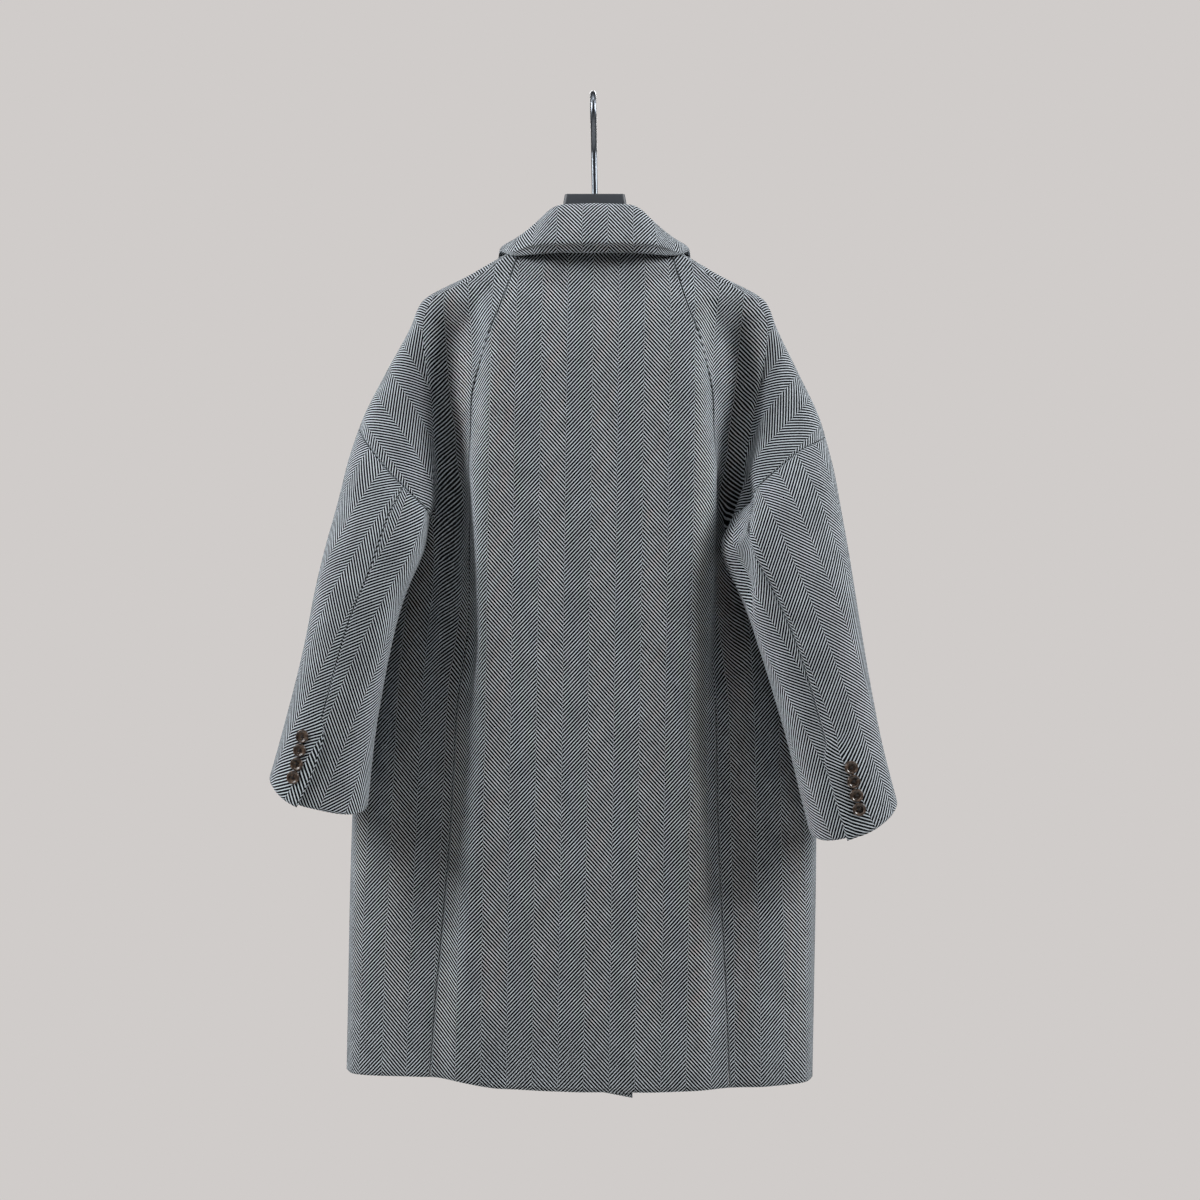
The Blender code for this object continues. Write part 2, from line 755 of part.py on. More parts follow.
def coat():
    """Cut and join the panels of the coat."""
    shell = Shell()
    backs = {}
    for side in (LEFT, RIGHT):
        label = SIDE_NAMES[side]
        centre, flank, cap = back_grids(side)
        body, front_cap = front_grids(side)
        backs[side] = centre
        shell.add("side_back_" + label, flank, side == LEFT)
        shell.add("side_back_" + label, cap, side == LEFT)
        shell.add("front_" + label, body, side == RIGHT)
        shell.add("front_" + label, front_cap, side == RIGHT)
        sleeve_panels(shell, side, cap, front_cap)
        underarm = shell.key(cap[-1, 0])
        for panel, lean, shift in (("side_back_", 0.8, (0, -SEAM_GAP, 0)), ("front_", 0.8, (0, SEAM_GAP, 0)),
                                   ("under_sleeve_", -0.8, (side * SEAM_GAP, 0, -SEAM_GAP))):
            shell.own[panel + label, underarm] = np.array([side * lean, 0.0, -0.3])
            shell.nudge[panel + label, underarm] = shift
    shell.add("back_centre", backs[LEFT], True)
    shell.add("back_centre", backs[RIGHT], False)
    for name in shell.panels:
        shell.solid(name, WOOL_COLOUR)


def front_surface(side, x, drop):
    """The front's outer face at a reach from the centre line, with its normal."""
    def spot(x, drop):
        line, fold = section(side, "front", drop)
        y = np.interp(abs(x), line[:fold + 1, 0], line[:fold + 1, 1]) + front_lift(side, x)
        return place(side, x, y, drop)
    point = spot(x, drop)
    down = spot(x, drop + 1) - spot(x, drop - 1)
    across = spot(x + 1, drop) - spot(x - 1, drop)
    normal = np.cross(down, across)
    normal *= -side / np.linalg.norm(normal)
    return point, normal


def lapel(side):
    """A lapel laid on its front: from the roll line out to the notch and down to the break."""
    low = LAPEL_END_DROP[side]
    end_x = side * front_edge(low) + LAPEL_FROM_ROLL + LAPEL_END_WIDTH
    grid = []
    for way in np.linspace(0, 1, LAPEL_ROWS):
        drop_in = LAPEL_TOP_DROP + (low - LAPEL_TOP_DROP) * way
        x_in = front_edge(drop_in) + LAPEL_FROM_ROLL
        if side == LEFT:
            x_in = max(x_in, -front_edge(drop_in) + LAPEL_FROM_ROLL + 1.0)
        drop_out = LAPEL_TIP["drop"] + (low + 1 - LAPEL_TIP["drop"]) * way
        x_out = LAPEL_TIP["x"] + (end_x - LAPEL_TIP["x"]) * way + LAPEL_BELLY * math.sin(math.pi * way)
        row = []
        for share in np.linspace(0, 1, LAPEL_COLUMNS):
            x = x_in + (x_out - x_in) * share
            drop = drop_in + (drop_out - drop_in) * share
            point, normal = front_surface(side, x, drop)
            row.append(point + normal * (LAYER_GAP + CLOTH))
        grid.append(row)
    grid = np.array(grid)
    if side == RIGHT:
        grid = grid[:, ::-1]
    grid_wall("lapel_" + SIDE_NAMES[side], grid, CLOTH, WOOL_COLOUR)


def neckline(side):
    """The inner neck edge from the centre back over the shoulder to the gorge."""
    points = []
    for s in np.linspace(0, 1, 12):
        drop = NECK_BACK_DROP + (NECK_SIDE_DROP - NECK_BACK_DROP) * s * s
        points.append(back_point(side, "centre", s, drop))
    points += [back_point(side, "flank", s, NECK_SIDE_DROP) for s in (0.5, 1.0)]
    points += [back_point(side, "cap", s, NECK_SIDE_DROP) for s in (0.5, 1.0)]
    points += [front_point(side, "cap", s, NECK_SIDE_DROP) for s in (0.5, 0.0)]
    points += [front_point(side, "body", 0.0, d) for d in np.linspace(NECK_SIDE_DROP, GORGE_DROP, 8)]
    points = np.array(points)
    way = np.concatenate([[0], np.cumsum(np.linalg.norm(np.diff(points, axis=0), axis=1))])
    return points, way / way[-1]


def collar_section(side, way):
    """Visible line of the collar: up its stand, over the roll, down its fall."""
    points, ways = neckline(side)
    seat = np.array([np.interp(way, ways, points[:, k]) for k in range(3)])
    roll = place(side, *[look(COLLAR, "roll_" + k, way, key="way") for k in ("x", "y", "drop")])
    edge = place(side, *[look(COLLAR, "edge_" + k, way, key="way") for k in ("x", "y", "drop")])
    outward = edge - roll
    outward[2] = 0
    outward /= np.linalg.norm(outward)
    rise = roll - seat
    height = np.linalg.norm(rise)
    clear = COLLAR_CLEAR * ramp(way, 0.45, 0.65)
    foot = seat - outward * (CLOTH + clear) + rise / height * (SEAM_GAP + clear)
    bend = min(COLLAR_BEND, 0.45 * height)
    down = np.array([0, 0, -bend * 0.8])
    inside = roll - outward * bend + down
    outside = roll + outward * bend + down
    belly = (outside + edge) / 2 + (outward + (0, 0, 0.6)) * COLLAR_BELLY
    stops = np.array([foot, (foot + inside) / 2, inside, roll, outside, belly, edge])
    run = np.concatenate([[0], np.cumsum(np.linalg.norm(np.diff(stops, axis=0), axis=1))])
    at = np.interp(np.linspace(0, 6, 13), np.arange(7), run)
    return np.column_stack([smooth(run, stops[:, k], at) for k in range(3)])


def collar():
    """Stand and fall in one folded band around the neck."""
    ways = np.linspace(0, 1, 13)
    left = [collar_section(LEFT, way) for way in ways[::-1]]
    right = [collar_section(RIGHT, way) for way in ways[1:]]
    grid = np.array(left + right).transpose(1, 0, 2)
    grid_wall("collar", grid, COLLAR_CLOTH, COLLAR_COLOUR)


def button(name, size, point, normal, colour):
    """A turned button with a raised rim, its flat back towards the cloth."""
    radius, thick = size["radius"] * MM, size["thick"] * MM
    profile = [(0, 0), (0.8, 0), (1.0, 0.35), (0.96, 0.85), (0.82, 1.0), (0.62, 0.62), (0, 0.5)]
    work = bmesh.new()
    verts = [work.verts.new((r * radius, 0, h * thick)) for r, h in profile]
    edges = [work.edges.new(pair) for pair in zip(verts, verts[1:])]
    bmesh.ops.spin(work, geom=verts + edges, cent=(0, 0, 0), axis=(0, 0, 1), angle=math.tau,
                   steps=BUTTON_STEPS, use_merge=True)
    bmesh.ops.remove_doubles(work, verts=work.verts, dist=1e-6)
    turn = Vector(normal).to_track_quat("Z", "Y").to_matrix().to_4x4()
    seat = Vector((np.array(point) + np.array(normal) * SEAM_GAP) * MM)
    work.transform(Matrix.Translation(seat) @ turn)
    mesh = bpy.data.meshes.new(name)
    work.to_mesh(mesh)
    work.free()
    finish(name, mesh, colour, 0.35, 0.0)


def sleeve_surface(side, angle, drop):
    """Outer face of a sleeve with its normal."""
    def spot(angle, drop):
        return place(side, *arm_point(side, angle, drop), drop)
    point = spot(angle, drop)
    around = spot(angle + 1, drop) - spot(angle - 1, drop)
    down = spot(angle, drop + 1) - spot(angle, drop - 1)
    normal = np.cross(around, down)
    normal *= side / np.linalg.norm(normal)
    return point, normal


def cuff_buttons(side):
    """Buttons in a row beside the vent, on the upper sleeve."""
    low, high = CUFF_BUTTON_FROM_SEAM["low"], CUFF_BUTTON_FROM_SEAM["high"]
    for number in range(CUFF_BUTTON_COUNT):
        rise = CUFF_BUTTON_FROM_EDGE + CUFF_BUTTON_PITCH * (CUFF_BUTTON_COUNT - 1 - number)
        seam = look(SLEEVE_SEAM[side], "angle", 1 - rise / SLEEVE_LENGTH, key="way")
        drop = cuff_drop(side, seam) - rise
        radius = look(ARMS[side], "half", drop) * 1.15
        share = 1 - number / (CUFF_BUTTON_COUNT - 1)
        aside = low + (high - low) * share
        angle = seam - math.degrees(aside / radius)
        point, normal = sleeve_surface(side, angle, drop)
        button(f"cuff_button_{SIDE_NAMES[side]}_{number + 1}", CUFF_BUTTON, point, normal, HORN_COLOUR)


def front_buttons():
    """Two columns of buttons on the outer front."""
    for column, x in (("edge", -FRONT_BUTTON_X), ("inner", FRONT_BUTTON_X)):
        for number, drop in enumerate(FRONT_BUTTON_DROPS):
            point, normal = front_surface(RIGHT, x, drop)
            button(f"front_button_{column}_{number + 1}", FRONT_BUTTON, point, normal, HORN_COLOUR)


def hanger_arms():
    """Arms of the hanger, lofted from rounded sections just under the shoulders."""
    work = bmesh.new()
    rings = []
    for x in np.linspace(-HANGER_END, HANGER_END, 2 * HANGER_STATIONS + 1):
        reach = abs(x)
        ridge = NECK_SIDE_DROP + SHOULDER_SLOPE * (reach - SHOULDER_START) + HANGER_CLEAR
        hump = HANGER_HUMP_DROP + HANGER_HUMP_CURVE * reach ** 2
        top = hump + (ridge - hump) * ramp(reach, SHOULDER_START - 28.0, SHOULDER_START)
        deeper = HANGER_HALF_DEPTH["end"] - HANGER_HALF_DEPTH["middle"]
        half_depth = HANGER_HALF_DEPTH["middle"] + deeper * ramp(reach, 20.0, 150.0)
        half_height = HANGER_HALF_HEIGHT
        if reach > HANGER_ROUND_FROM:
            past = (reach - HANGER_ROUND_FROM) / (HANGER_END - HANGER_ROUND_FROM)
            shrink = math.sqrt(1 - 0.8 * past ** 2)
            half_depth *= shrink
            half_height *= shrink
        ring = []
        for k in range(HANGER_SIDES):
            around = math.tau * k / HANGER_SIDES
            height = -top - half_height * (1 - math.sin(around))
            spot = (x + centre_line(top), half_depth * math.cos(around), height)
            ring.append(work.verts.new(Vector(spot) * MM))
        rings.append(ring)
    for a, b in zip(rings, rings[1:]):
        for k in range(HANGER_SIDES):
            after = (k + 1) % HANGER_SIDES
            work.faces.new((a[k], a[after], b[after], b[k]))
    work.faces.new(rings[0])
    work.faces.new(rings[-1])
    mesh = bpy.data.meshes.new("hanger_arms")
    work.to_mesh(mesh)
    work.free()
    finish("hanger_arms", mesh, HANGER_COLOUR, 0.6, 0.0)


def hanger_block():
    """The neck block that the hook is set in."""
    work = bmesh.new()
    bmesh.ops.create_cube(work, size=2.0)
    for vert in work.verts:
        low = vert.co.z < 0
        half = BLOCK_BOTTOM_HALF if low else BLOCK_TOP_HALF
        drop = BLOCK_BOTTOM_DROP if low else BLOCK_TOP_DROP
        vert.co = Vector((vert.co.x * half + LEAN_TOP, vert.co.y * BLOCK_HALF_DEPTH, -drop)) * MM
    upright = [e for e in work.edges if abs(e.verts[0].co.z - e.verts[1].co.z) > 0.01]
    bmesh.ops.bevel(work, geom=upright, offset=4 * MM, segments=3, affect="EDGES", profile=0.5)
    mesh = bpy.data.meshes.new("hanger_block")
    work.to_mesh(mesh)
    work.free()
    finish("hanger_block", mesh, HANGER_COLOUR, 0.6, 0.0)


def hanger_hook():
    """A wire hook that stands across the coat and goes over the rail from the back."""
    ring = HOOK_RADIUS + WIRE
    points = [(0, -BLOCK_TOP_DROP + SEAM_GAP), (0, -HOOK_STEM_DROP - 10)]
    for u in np.linspace(0.12, 1, 8):
        points.append((-ring * ramp(u, 0, 1), -HOOK_STEM_DROP + (HOOK_STEM_DROP - HOOK_RADIUS) * u))
    for angle in np.linspace(170, -35, 17):
        around = math.radians(angle)
        points.append((ring * math.cos(around), -HOOK_RADIUS + ring * math.sin(around)))
    curve = bpy.data.curves.new("hanger_hook", "CURVE")
    curve.dimensions = "3D"
    curve.bevel_depth = WIRE * MM
    curve.bevel_resolution = 2
    curve.use_fill_caps = True
    spline = curve.splines.new("POLY")
    spline.points.add(len(points) - 1)
    lean = [LEAN_TOP * min(-z / BLOCK_TOP_DROP, 1.0) if z < 0 else 0.0 for y, z in points]
    for spot, x, (y, z) in zip(spline.points, lean, points):
        spot.co = (x * MM, y * MM, z * MM, 1)
    made = bpy.data.objects.new("hanger_hook", curve)
    made.data.materials.append(material("hanger_hook", CHROME_COLOUR, 0.12, 1.0))
    bpy.context.scene.collection.objects.link(made)


def main():
    for old in list(bpy.data.objects):
        bpy.data.objects.remove(old, do_unlink=True)
    coat()
    for side in (LEFT, RIGHT):
        lapel(side)
        cuff_buttons(side)
    collar()
    front_buttons()
    hanger_arms()
    hanger_block()
    hanger_hook()


main()
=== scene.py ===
# %% [markdown]
# # A herringbone overcoat on its hanger
# The coat hangs by a wire hook and is seen from behind. Its solids are already built, so this lesson
# lays fine cloth on their form and gives every piece its finish. The coat is cut as a tailor cuts it:
# panels first, then seams, collar, lapels, buttons, and last the hanger that holds it all up.

# %% Load the frame
import math

import bmesh
import bpy
import numpy as np
from mathutils import Matrix, Vector


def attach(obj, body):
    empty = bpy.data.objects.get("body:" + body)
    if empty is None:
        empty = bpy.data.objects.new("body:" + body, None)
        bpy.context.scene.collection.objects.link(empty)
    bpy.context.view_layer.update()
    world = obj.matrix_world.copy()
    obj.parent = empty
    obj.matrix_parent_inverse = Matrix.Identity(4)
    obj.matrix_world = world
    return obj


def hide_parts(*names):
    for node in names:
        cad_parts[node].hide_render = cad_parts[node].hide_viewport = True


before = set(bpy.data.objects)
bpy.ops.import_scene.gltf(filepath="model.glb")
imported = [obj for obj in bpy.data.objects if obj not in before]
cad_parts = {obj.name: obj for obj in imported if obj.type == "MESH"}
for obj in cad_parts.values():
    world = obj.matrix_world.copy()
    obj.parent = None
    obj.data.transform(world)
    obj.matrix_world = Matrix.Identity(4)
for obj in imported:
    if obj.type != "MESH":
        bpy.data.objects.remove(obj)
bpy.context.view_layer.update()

MM = 0.001
LEFT = -1
RIGHT = 1
SIDE_NAMES = {LEFT: "left", RIGHT: "right"}

# %% [markdown]
# ## What was measured
# A drop is a height below the hook's bearing point, in millimetres, and a reach is a distance from
# the coat's middle. The sleeve is a soft tube, so each row gives its nearest and farthest reach, the
# depth of its middle and half its thickness. Rows as a tailor would note them are easy to correct.

# %% Heights of the coat
# Drops in mm, and where the coat's middle lies at its neck and at its hem
NECK_BACK_DROP = 167.0
NECK_SIDE_DROP = 162.0
UNDERARM_DROP = 494.0
SIDE_FULL_DROP = 560.0
HEM_BACK_DROP = 1083.0
HEM_OUTER_FRONT_DROP = 1094.0
HEM_UNDER_FRONT_DROP = 1113.0
LEAN_TOP = 2.0
LEAN_HEM = -15.0
print("back's length in mm:", HEM_BACK_DROP - NECK_BACK_DROP)

# %% Table of the arms
def table(columns, *rows):
    """A table as named columns of numbers."""
    return dict(zip(columns.split(), np.array(rows, float).T))


# Arm tube from the neck to the cuff: nearest and farthest reach from the centre
# line, place of its middle in y, half its depth
ARMS = {
    LEFT: table(
        "drop inner outer middle half",
        (162, 42, 78, 0, 17),
        (195, 78, 134, 0, 23),
        (228, 166, 190, -1, 25),
        (255, 180, 201, -2, 27),
        (305, 177, 227, -5, 32),
        (361, 172, 253, -10, 37),
        (400, 171, 264, -16, 40),
        (440, 171, 273, -23, 42),
        (494, 180, 286, -36, 42),
        (540, 196, 295, -47, 40),
        (600, 211, 305, -53, 39),
        (700, 227, 328, -56, 39),
        (790, 235, 352, -59, 38),
        (830, 241, 362, -60, 38),
    ),
    RIGHT: table(
        "drop inner outer middle half",
        (162, 42, 78, 0, 17),
        (195, 78, 134, 0, 23),
        (228, 166, 190, -1, 25),
        (255, 186, 201, -2, 27),
        (305, 183, 226, -5, 32),
        (361, 174, 252, -10, 37),
        (400, 167, 262, -16, 40),
        (440, 162, 270, -23, 42),
        (494, 148, 280, -36, 42),
        (540, 162, 287, -47, 40),
        (600, 183, 297, -53, 39),
        (700, 215, 317, -56, 39),
        (790, 239, 341, -59, 38),
        (830, 250, 351, -60, 38),
    ),
}
print("arm rows on each side:", len(ARMS[LEFT]["drop"]))

# %% [markdown]
# ## The body's sections
# A coat on a hanger isn't a flat sheet. The middle of its back stands proud over the hanger, dips
# beside it in a deep fold, and comes out again to the dropped shoulder. These rows give the reach and
# the depth of each of those places, so the main folds are part of the form and not a surface effect.

# %% Tables of the back, the front and the side
# Back of the body: reach and depth of the raised middle, the dip beside it and
# the flank that runs out to the shoulder fold or the side seam
BACK = table(
    "drop centre raised_x raised dip_x dip flank_x flank",
    (162, 38, 26, 37, 46, 30, 56, 22),
    (195, 46, 45, 42, 78, 33, 96, 28),
    (228, 53, 70, 49, 115, 41, 150, 32),
    (255, 57, 85, 53, 120, 45, 155, 34),
    (305, 60, 95, 58, 129, 47, 155, 34),
    (361, 62, 100, 60, 139, 44, 158, 29),
    (400, 63, 103, 61, 141, 41, 156, 25),
    (440, 64, 105, 62, 142, 38, 154, 20),
    (494, 65, 106, 63, 141, 35, 157, 14),
    (540, 66, 107, 64, 141, 34, 162, 13),
    (600, 66, 107, 64, 140, 33, 168, 20),
    (700, 66, 107, 64, 140, 36, 178, 32),
    (790, 65, 110, 63, 145, 38, 185, 36),
    (900, 63, 117, 61, 151, 42, 195, 39),
    (1000, 61, 123, 59, 158, 45, 200, 41),
    (1120, 59, 128, 57, 163, 48, 205, 43),
)

# Front of the body: depth of its flat middle and of the flank
FRONT = table(
    "drop centre flat_x flat flank_x flank",
    (162, 32, 25, 31, 48, 25),
    (195, 37, 50, 35, 85, 28),
    (228, 40, 90, 38, 140, 31),
    (255, 41, 100, 39, 150, 32),
    (305, 42, 110, 40, 155, 31),
    (361, 42, 115, 40, 157, 28),
    (400, 43, 118, 41, 156, 25),
    (440, 43, 120, 41, 154, 22),
    (494, 43, 120, 41, 160, 25),
    (540, 43, 122, 41, 176, 30),
    (600, 44, 125, 42, 185, 32),
    (700, 44, 130, 42, 205, 34),
    (790, 44, 135, 42, 215, 34),
    (900, 43, 138, 41, 218, 33),
    (1120, 40, 140, 39, 220, 30),
)

# Side seam below the underarm
SIDE = table(
    "drop x y",
    (540, 222, 13),
    (600, 238, 10),
    (700, 250, 3),
    (790, 256, -1),
    (900, 257, -1),
    (1120, 257, -1),
)
print("rows of back, front and side:", [len(rows["drop"]) for rows in (BACK, FRONT, SIDE)])

# %% [markdown]
# ## Seams and edges
# Two long seams part the centre back from the side backs, and the armholes are cut low because the
# shoulders drop. They could be drawn on the finished mesh, but panels that end at their seams can be
# laid flat and woven one by one, so each seam gets a table of its own.

# %% Seams and armholes
# Angle around the arm, from its outer side over the back, where front and back meet
UNDERARM_ANGLE = 236.0

# Reach of the long back seam
BACK_SEAM = table(
    "drop x",
    (162, 70),
    (174, 83),
    (200, 91),
    (230, 100),
    (282, 121),
    (335, 137),
    (400, 141),
    (470, 142),
    (590, 140),
    (770, 144),
    (880, 150),
    (985, 157),
    (1120, 164),
)

# Angle around the arm where the body's cloth folds into the dropped shoulder
FOLD_ANGLE = table(
    "drop back front",
    (162, 34, 34),
    (195, 62, 62),
    (228, 90, 90),
    (255, 112, 105),
    (305, 142, 120),
    (361, 162, 124),
    (400, 174, 122),
    (440, 188, 117),
    (470, 207, 117),
    (494, UNDERARM_ANGLE, 360 - UNDERARM_ANGLE),
)

# Armhole: share of its drop against the share of the way from fold to shoulder
ARMHOLE = {
    "back": table(
        "way left right",
        (0.00, 1.00, 1.00),
        (0.12, 0.84, 0.76),
        (0.22, 0.71, 0.57),
        (0.33, 0.58, 0.40),
        (0.43, 0.46, 0.28),
        (0.55, 0.31, 0.16),
        (0.68, 0.17, 0.09),
        (0.83, 0.06, 0.04),
        (1.00, 0.00, 0.00),
    ),
    "front": table(
        "way left right",
        (0.00, 1.00, 1.00),
        (0.15, 0.83, 0.83),
        (0.35, 0.55, 0.55),
        (0.55, 0.30, 0.30),
        (0.78, 0.09, 0.09),
        (1.00, 0.00, 0.00),
    ),
}
print("back seam's reach in mm, top and hem:", BACK_SEAM["x"][[0, -1]])

# %% Front edge and hem
# Front opening
OVERLAP = 60.0
BREAK_DROP = 470.0
GORGE_DROP = 197.0
GORGE_X = 50.0
NECK_FRONT_X = 71.0
OUTER_LIFT = 1.2
UNDER_LIFT = -2.4

# Free edge of the fronts: reach past the centre line, less than 0 beyond it
FRONT_EDGE = table(
    "drop x",
    (NECK_SIDE_DROP, NECK_FRONT_X),
    (GORGE_DROP, GORGE_X),
    (BREAK_DROP, -OVERLAP),
    (1200, -OVERLAP),
)

# Back hem, from the centre back over the back seam to the side seam
HEM = table(
    "way left right",
    (0.0, HEM_BACK_DROP, HEM_BACK_DROP),
    (0.3, 1080, 1083),
    (0.6, 1069, 1081),
    (1.0, 1072, 1080),
)
print("hem's drops in mm:", {label: HEM[label].tolist() for label in SIDE_NAMES.values()})

# %% [markdown]
# ## Reading a table smoothly
# Straight lines between rows would leave ridges in the cloth, and a free curve would swing past the
# measured values. A cubic that never overshoots its rows gives calm cloth, so every table is read
# through one.

# %% Smooth values
def smooth(places, values, at):
    """Values between table rows, by a cubic that never overshoots them."""
    step = np.diff(places)
    rate = np.diff(values) / step
    slope = np.zeros(len(places))
    slope[0], slope[-1] = rate[0], rate[-1]
    same = rate[:-1] * rate[1:] > 0
    total = np.where(same, rate[:-1] + rate[1:], 1.0)
    slope[1:-1] = np.where(same, 2 * rate[:-1] * rate[1:] / total, 0.0)
    at = np.clip(at, places[0], places[-1])
    k = np.clip(np.searchsorted(places, at, side="right") - 1, 0, len(step) - 1)
    u = (at - places[k]) / step[k]
    start = (1 + 2 * u) * (1 - u) ** 2 * values[k] + u * (1 - u) ** 2 * step[k] * slope[k]
    end = u * u * (3 - 2 * u) * values[k + 1] + u * u * (u - 1) * step[k] * slope[k + 1]
    return start + end


def look(tab, column, at, key="drop"):
    """A column of a table, read at drops or at shares of a way."""
    return smooth(tab[key], tab[column], at)


def ramp(value, low, high):
    """0 up to low, 1 from high on, with a soft rise between them."""
    u = np.clip((value - low) / (high - low), 0.0, 1.0)
    return u * u * (3 - 2 * u)


print("seam's reach at a drop of 300 mm:", round(float(look(BACK_SEAM, "x", 300.0)), 1))

# %% [markdown]
# ## Lines of a section
# A section is the line that a level cut through the coat would show. It runs from the middle over the
# flank and, above the underarm, on around the arm to the shoulder. Cloth doesn't crease sharply, so
# the line is rounded by a moving average and only its outer end is held where it was.

# %% Places on the coat
# Rounding of the arm's section: 2 would be an ellipse, more is squarer
ARM_POWER = 2.3


def centre_line(drop):
    """The coat hangs a little to one side, so its middle drifts with the drop."""
    share = (drop - NECK_SIDE_DROP) / (HEM_BACK_DROP - NECK_SIDE_DROP)
    return LEAN_TOP + (LEAN_HEM - LEAN_TOP) * share


def place(side, x, y, drop):
    """Points of the coat in the part's frame, in millimetres."""
    return np.stack(np.broadcast_arrays(centre_line(drop) + side * x, y, -drop), axis=-1)


def arm_point(side, angle, drop):
    """Angle 0 is the outer side, 90 the back, 180 the side next to the body."""
    inner = look(ARMS[side], "inner", drop)
    outer = look(ARMS[side], "outer", drop)
    cosine = np.cos(np.radians(angle))
    sine = np.sin(np.radians(angle))
    x = (inner + outer) / 2 + (outer - inner) / 2 * np.sign(cosine) * np.abs(cosine) ** (2 / ARM_POWER)
    reach = np.sign(sine) * np.abs(sine) ** (2 / ARM_POWER)
    y = look(ARMS[side], "middle", drop) - look(ARMS[side], "half", drop) * reach
    return x, y


print("coat's middle at the hem in mm:", centre_line(HEM_BACK_DROP))

# %% Even and softened lines
# Distance of points along a section and the radius of a soft bend, in mm
PATH_STEP = 1.5
BEND = 5.0
RUN_POINTS = 160
LEAST_STEPS = 8
END_HELD = 4.0
SOFT_FROM_END = 30.0


def run_through(points):
    """An even run of points along a smooth line through the given ones."""
    points = np.array(points, float)
    way = np.concatenate([[0], np.cumsum(np.hypot(*np.diff(points, axis=0).T))])
    fine = np.linspace(0, way[-1], RUN_POINTS)
    return np.column_stack([smooth(way, points[:, k], fine) for k in range(2)])


def even(points):
    """The same line with points about PATH_STEP apart."""
    way = np.concatenate([[0], np.cumsum(np.hypot(*np.diff(points, axis=0).T))])
    count = max(int(way[-1] / PATH_STEP), LEAST_STEPS)
    at = np.linspace(0, way[-1], count + 1)
    return np.column_stack([np.interp(at, way, points[:, k]) for k in range(2)])


def soften(line, fold):
    """Round the folds of a section, leaving its outer end where it is."""
    reach = int(3 * BEND / PATH_STEP)
    weights = np.exp(-0.5 * (np.arange(-reach, reach + 1) * PATH_STEP / BEND) ** 2)
    weights /= weights.sum()
    before = line[1:reach + 1][::-1] * (-1, 1)
    after = 2 * line[-1] - line[-reach - 1:-1][::-1]
    padded = np.vstack([before, line, after])
    soft = np.column_stack([np.convolve(padded[:, k], weights, "valid") for k in range(2)])
    left = np.arange(len(line))[::-1] * PATH_STEP
    share = ramp(left, END_HELD, max(0.6 * fold, SOFT_FROM_END))[:, None]
    return line + (soft - line) * share


print("points on a line of 90 mm:", len(even(np.array([(0.0, 0.0), (90.0, 0.0)]))))

# %% Sections of the coat
CAP_POINTS = 60
FOLD_REACH = 14.0
FOLD_HELD_DROP = 450.0
SIDE_CORNER = 8.0
SIDE_ROUND = 0.35
SIDE_ROUND_MORE = 0.2
SIDE_ROUND_DROP = 620.0


def section(side, face, drop):
    """Half of the coat's section at a drop: its line, and where its fold or side lies."""
    if face == "back":
        middle = [(0, -look(BACK, "centre", drop))]
        for name in ("raised", "dip", "flank"):
            middle.append((look(BACK, name + "_x", drop), -look(BACK, name, drop)))
    else:
        middle = [(0, look(FRONT, "centre", drop))]
        for name in ("flat", "flank"):
            middle.append((look(FRONT, name + "_x", drop), look(FRONT, name, drop)))
    turn = 1 if face == "back" else -1
    if drop <= UNDERARM_DROP:
        fold_angle = look(FOLD_ANGLE, face, drop)
        angles = np.linspace(fold_angle, 0, CAP_POINTS) * turn
        cap = np.column_stack(arm_point(side, angles, drop))
        body = even(run_through(middle + [cap[0]]))
        cap = even(cap)
        line = np.vstack([body, cap[1:]])
        fold = len(body) - 1
        soft = soften(line, (len(cap) - 1) * PATH_STEP)
        near = np.exp(-((np.arange(len(line)) - fold) * PATH_STEP / FOLD_REACH) ** 2)[:, None]
        line = soft + (line[fold] - soft[fold]) * near * ramp(drop, FOLD_HELD_DROP, UNDERARM_DROP)
    else:
        share = ramp(drop, UNDERARM_DROP, SIDE_FULL_DROP)
        early = 1 - (1 - min((drop - UNDERARM_DROP) / (SIDE_FULL_DROP - UNDERARM_DROP), 1.0)) ** 3
        start = arm_point(side, UNDERARM_ANGLE, UNDERARM_DROP)
        side_x = start[0] + (look(SIDE, "x", drop) - start[0]) * share
        side_y = start[1] + (look(SIDE, "y", drop) - start[1]) * early
        flank = middle[-1]
        round_out = SIDE_ROUND + SIDE_ROUND_MORE * ramp(drop, UNDERARM_DROP, SIDE_ROUND_DROP)
        corner = (side_x - SIDE_CORNER, side_y + round_out * (flank[1] - side_y))
        line = soften(even(run_through(middle + [corner, (side_x, side_y)])), 0)
        fold = len(line) - 1
    return line, fold


underarm_line = section(RIGHT, "back", UNDERARM_DROP)[0]
print("half the back at the underarm, in mm of cloth:", (len(underarm_line) - 1) * PATH_STEP)

# %% Edges of the panels
# Past the overlap, where the lift of a front starts to fade and where it is gone
LIFT_FULL = 12.0
LIFT_GONE = 70.0
HEM_CURVE = 1.6


def index_at_x(line, x, last):
    """Where a section first reaches x."""
    k = int(np.argmax(line[:last + 1, 0] >= x))
    if k == 0:
        return 0.0
    return k - 1 + (x - line[k - 1, 0]) / (line[k, 0] - line[k - 1, 0])


def front_edge(drop):
    """Reach of the front's free edge past the centre, less than 0 beyond it."""
    return np.interp(drop, FRONT_EDGE["drop"], FRONT_EDGE["x"])


def front_lift(side, x):
    """The outer front lies over the under one, so the two part around the middle."""
    amount = OUTER_LIFT if side == RIGHT else UNDER_LIFT
    return amount * (1 - ramp(x, OVERLAP + LIFT_FULL, OVERLAP + LIFT_GONE))


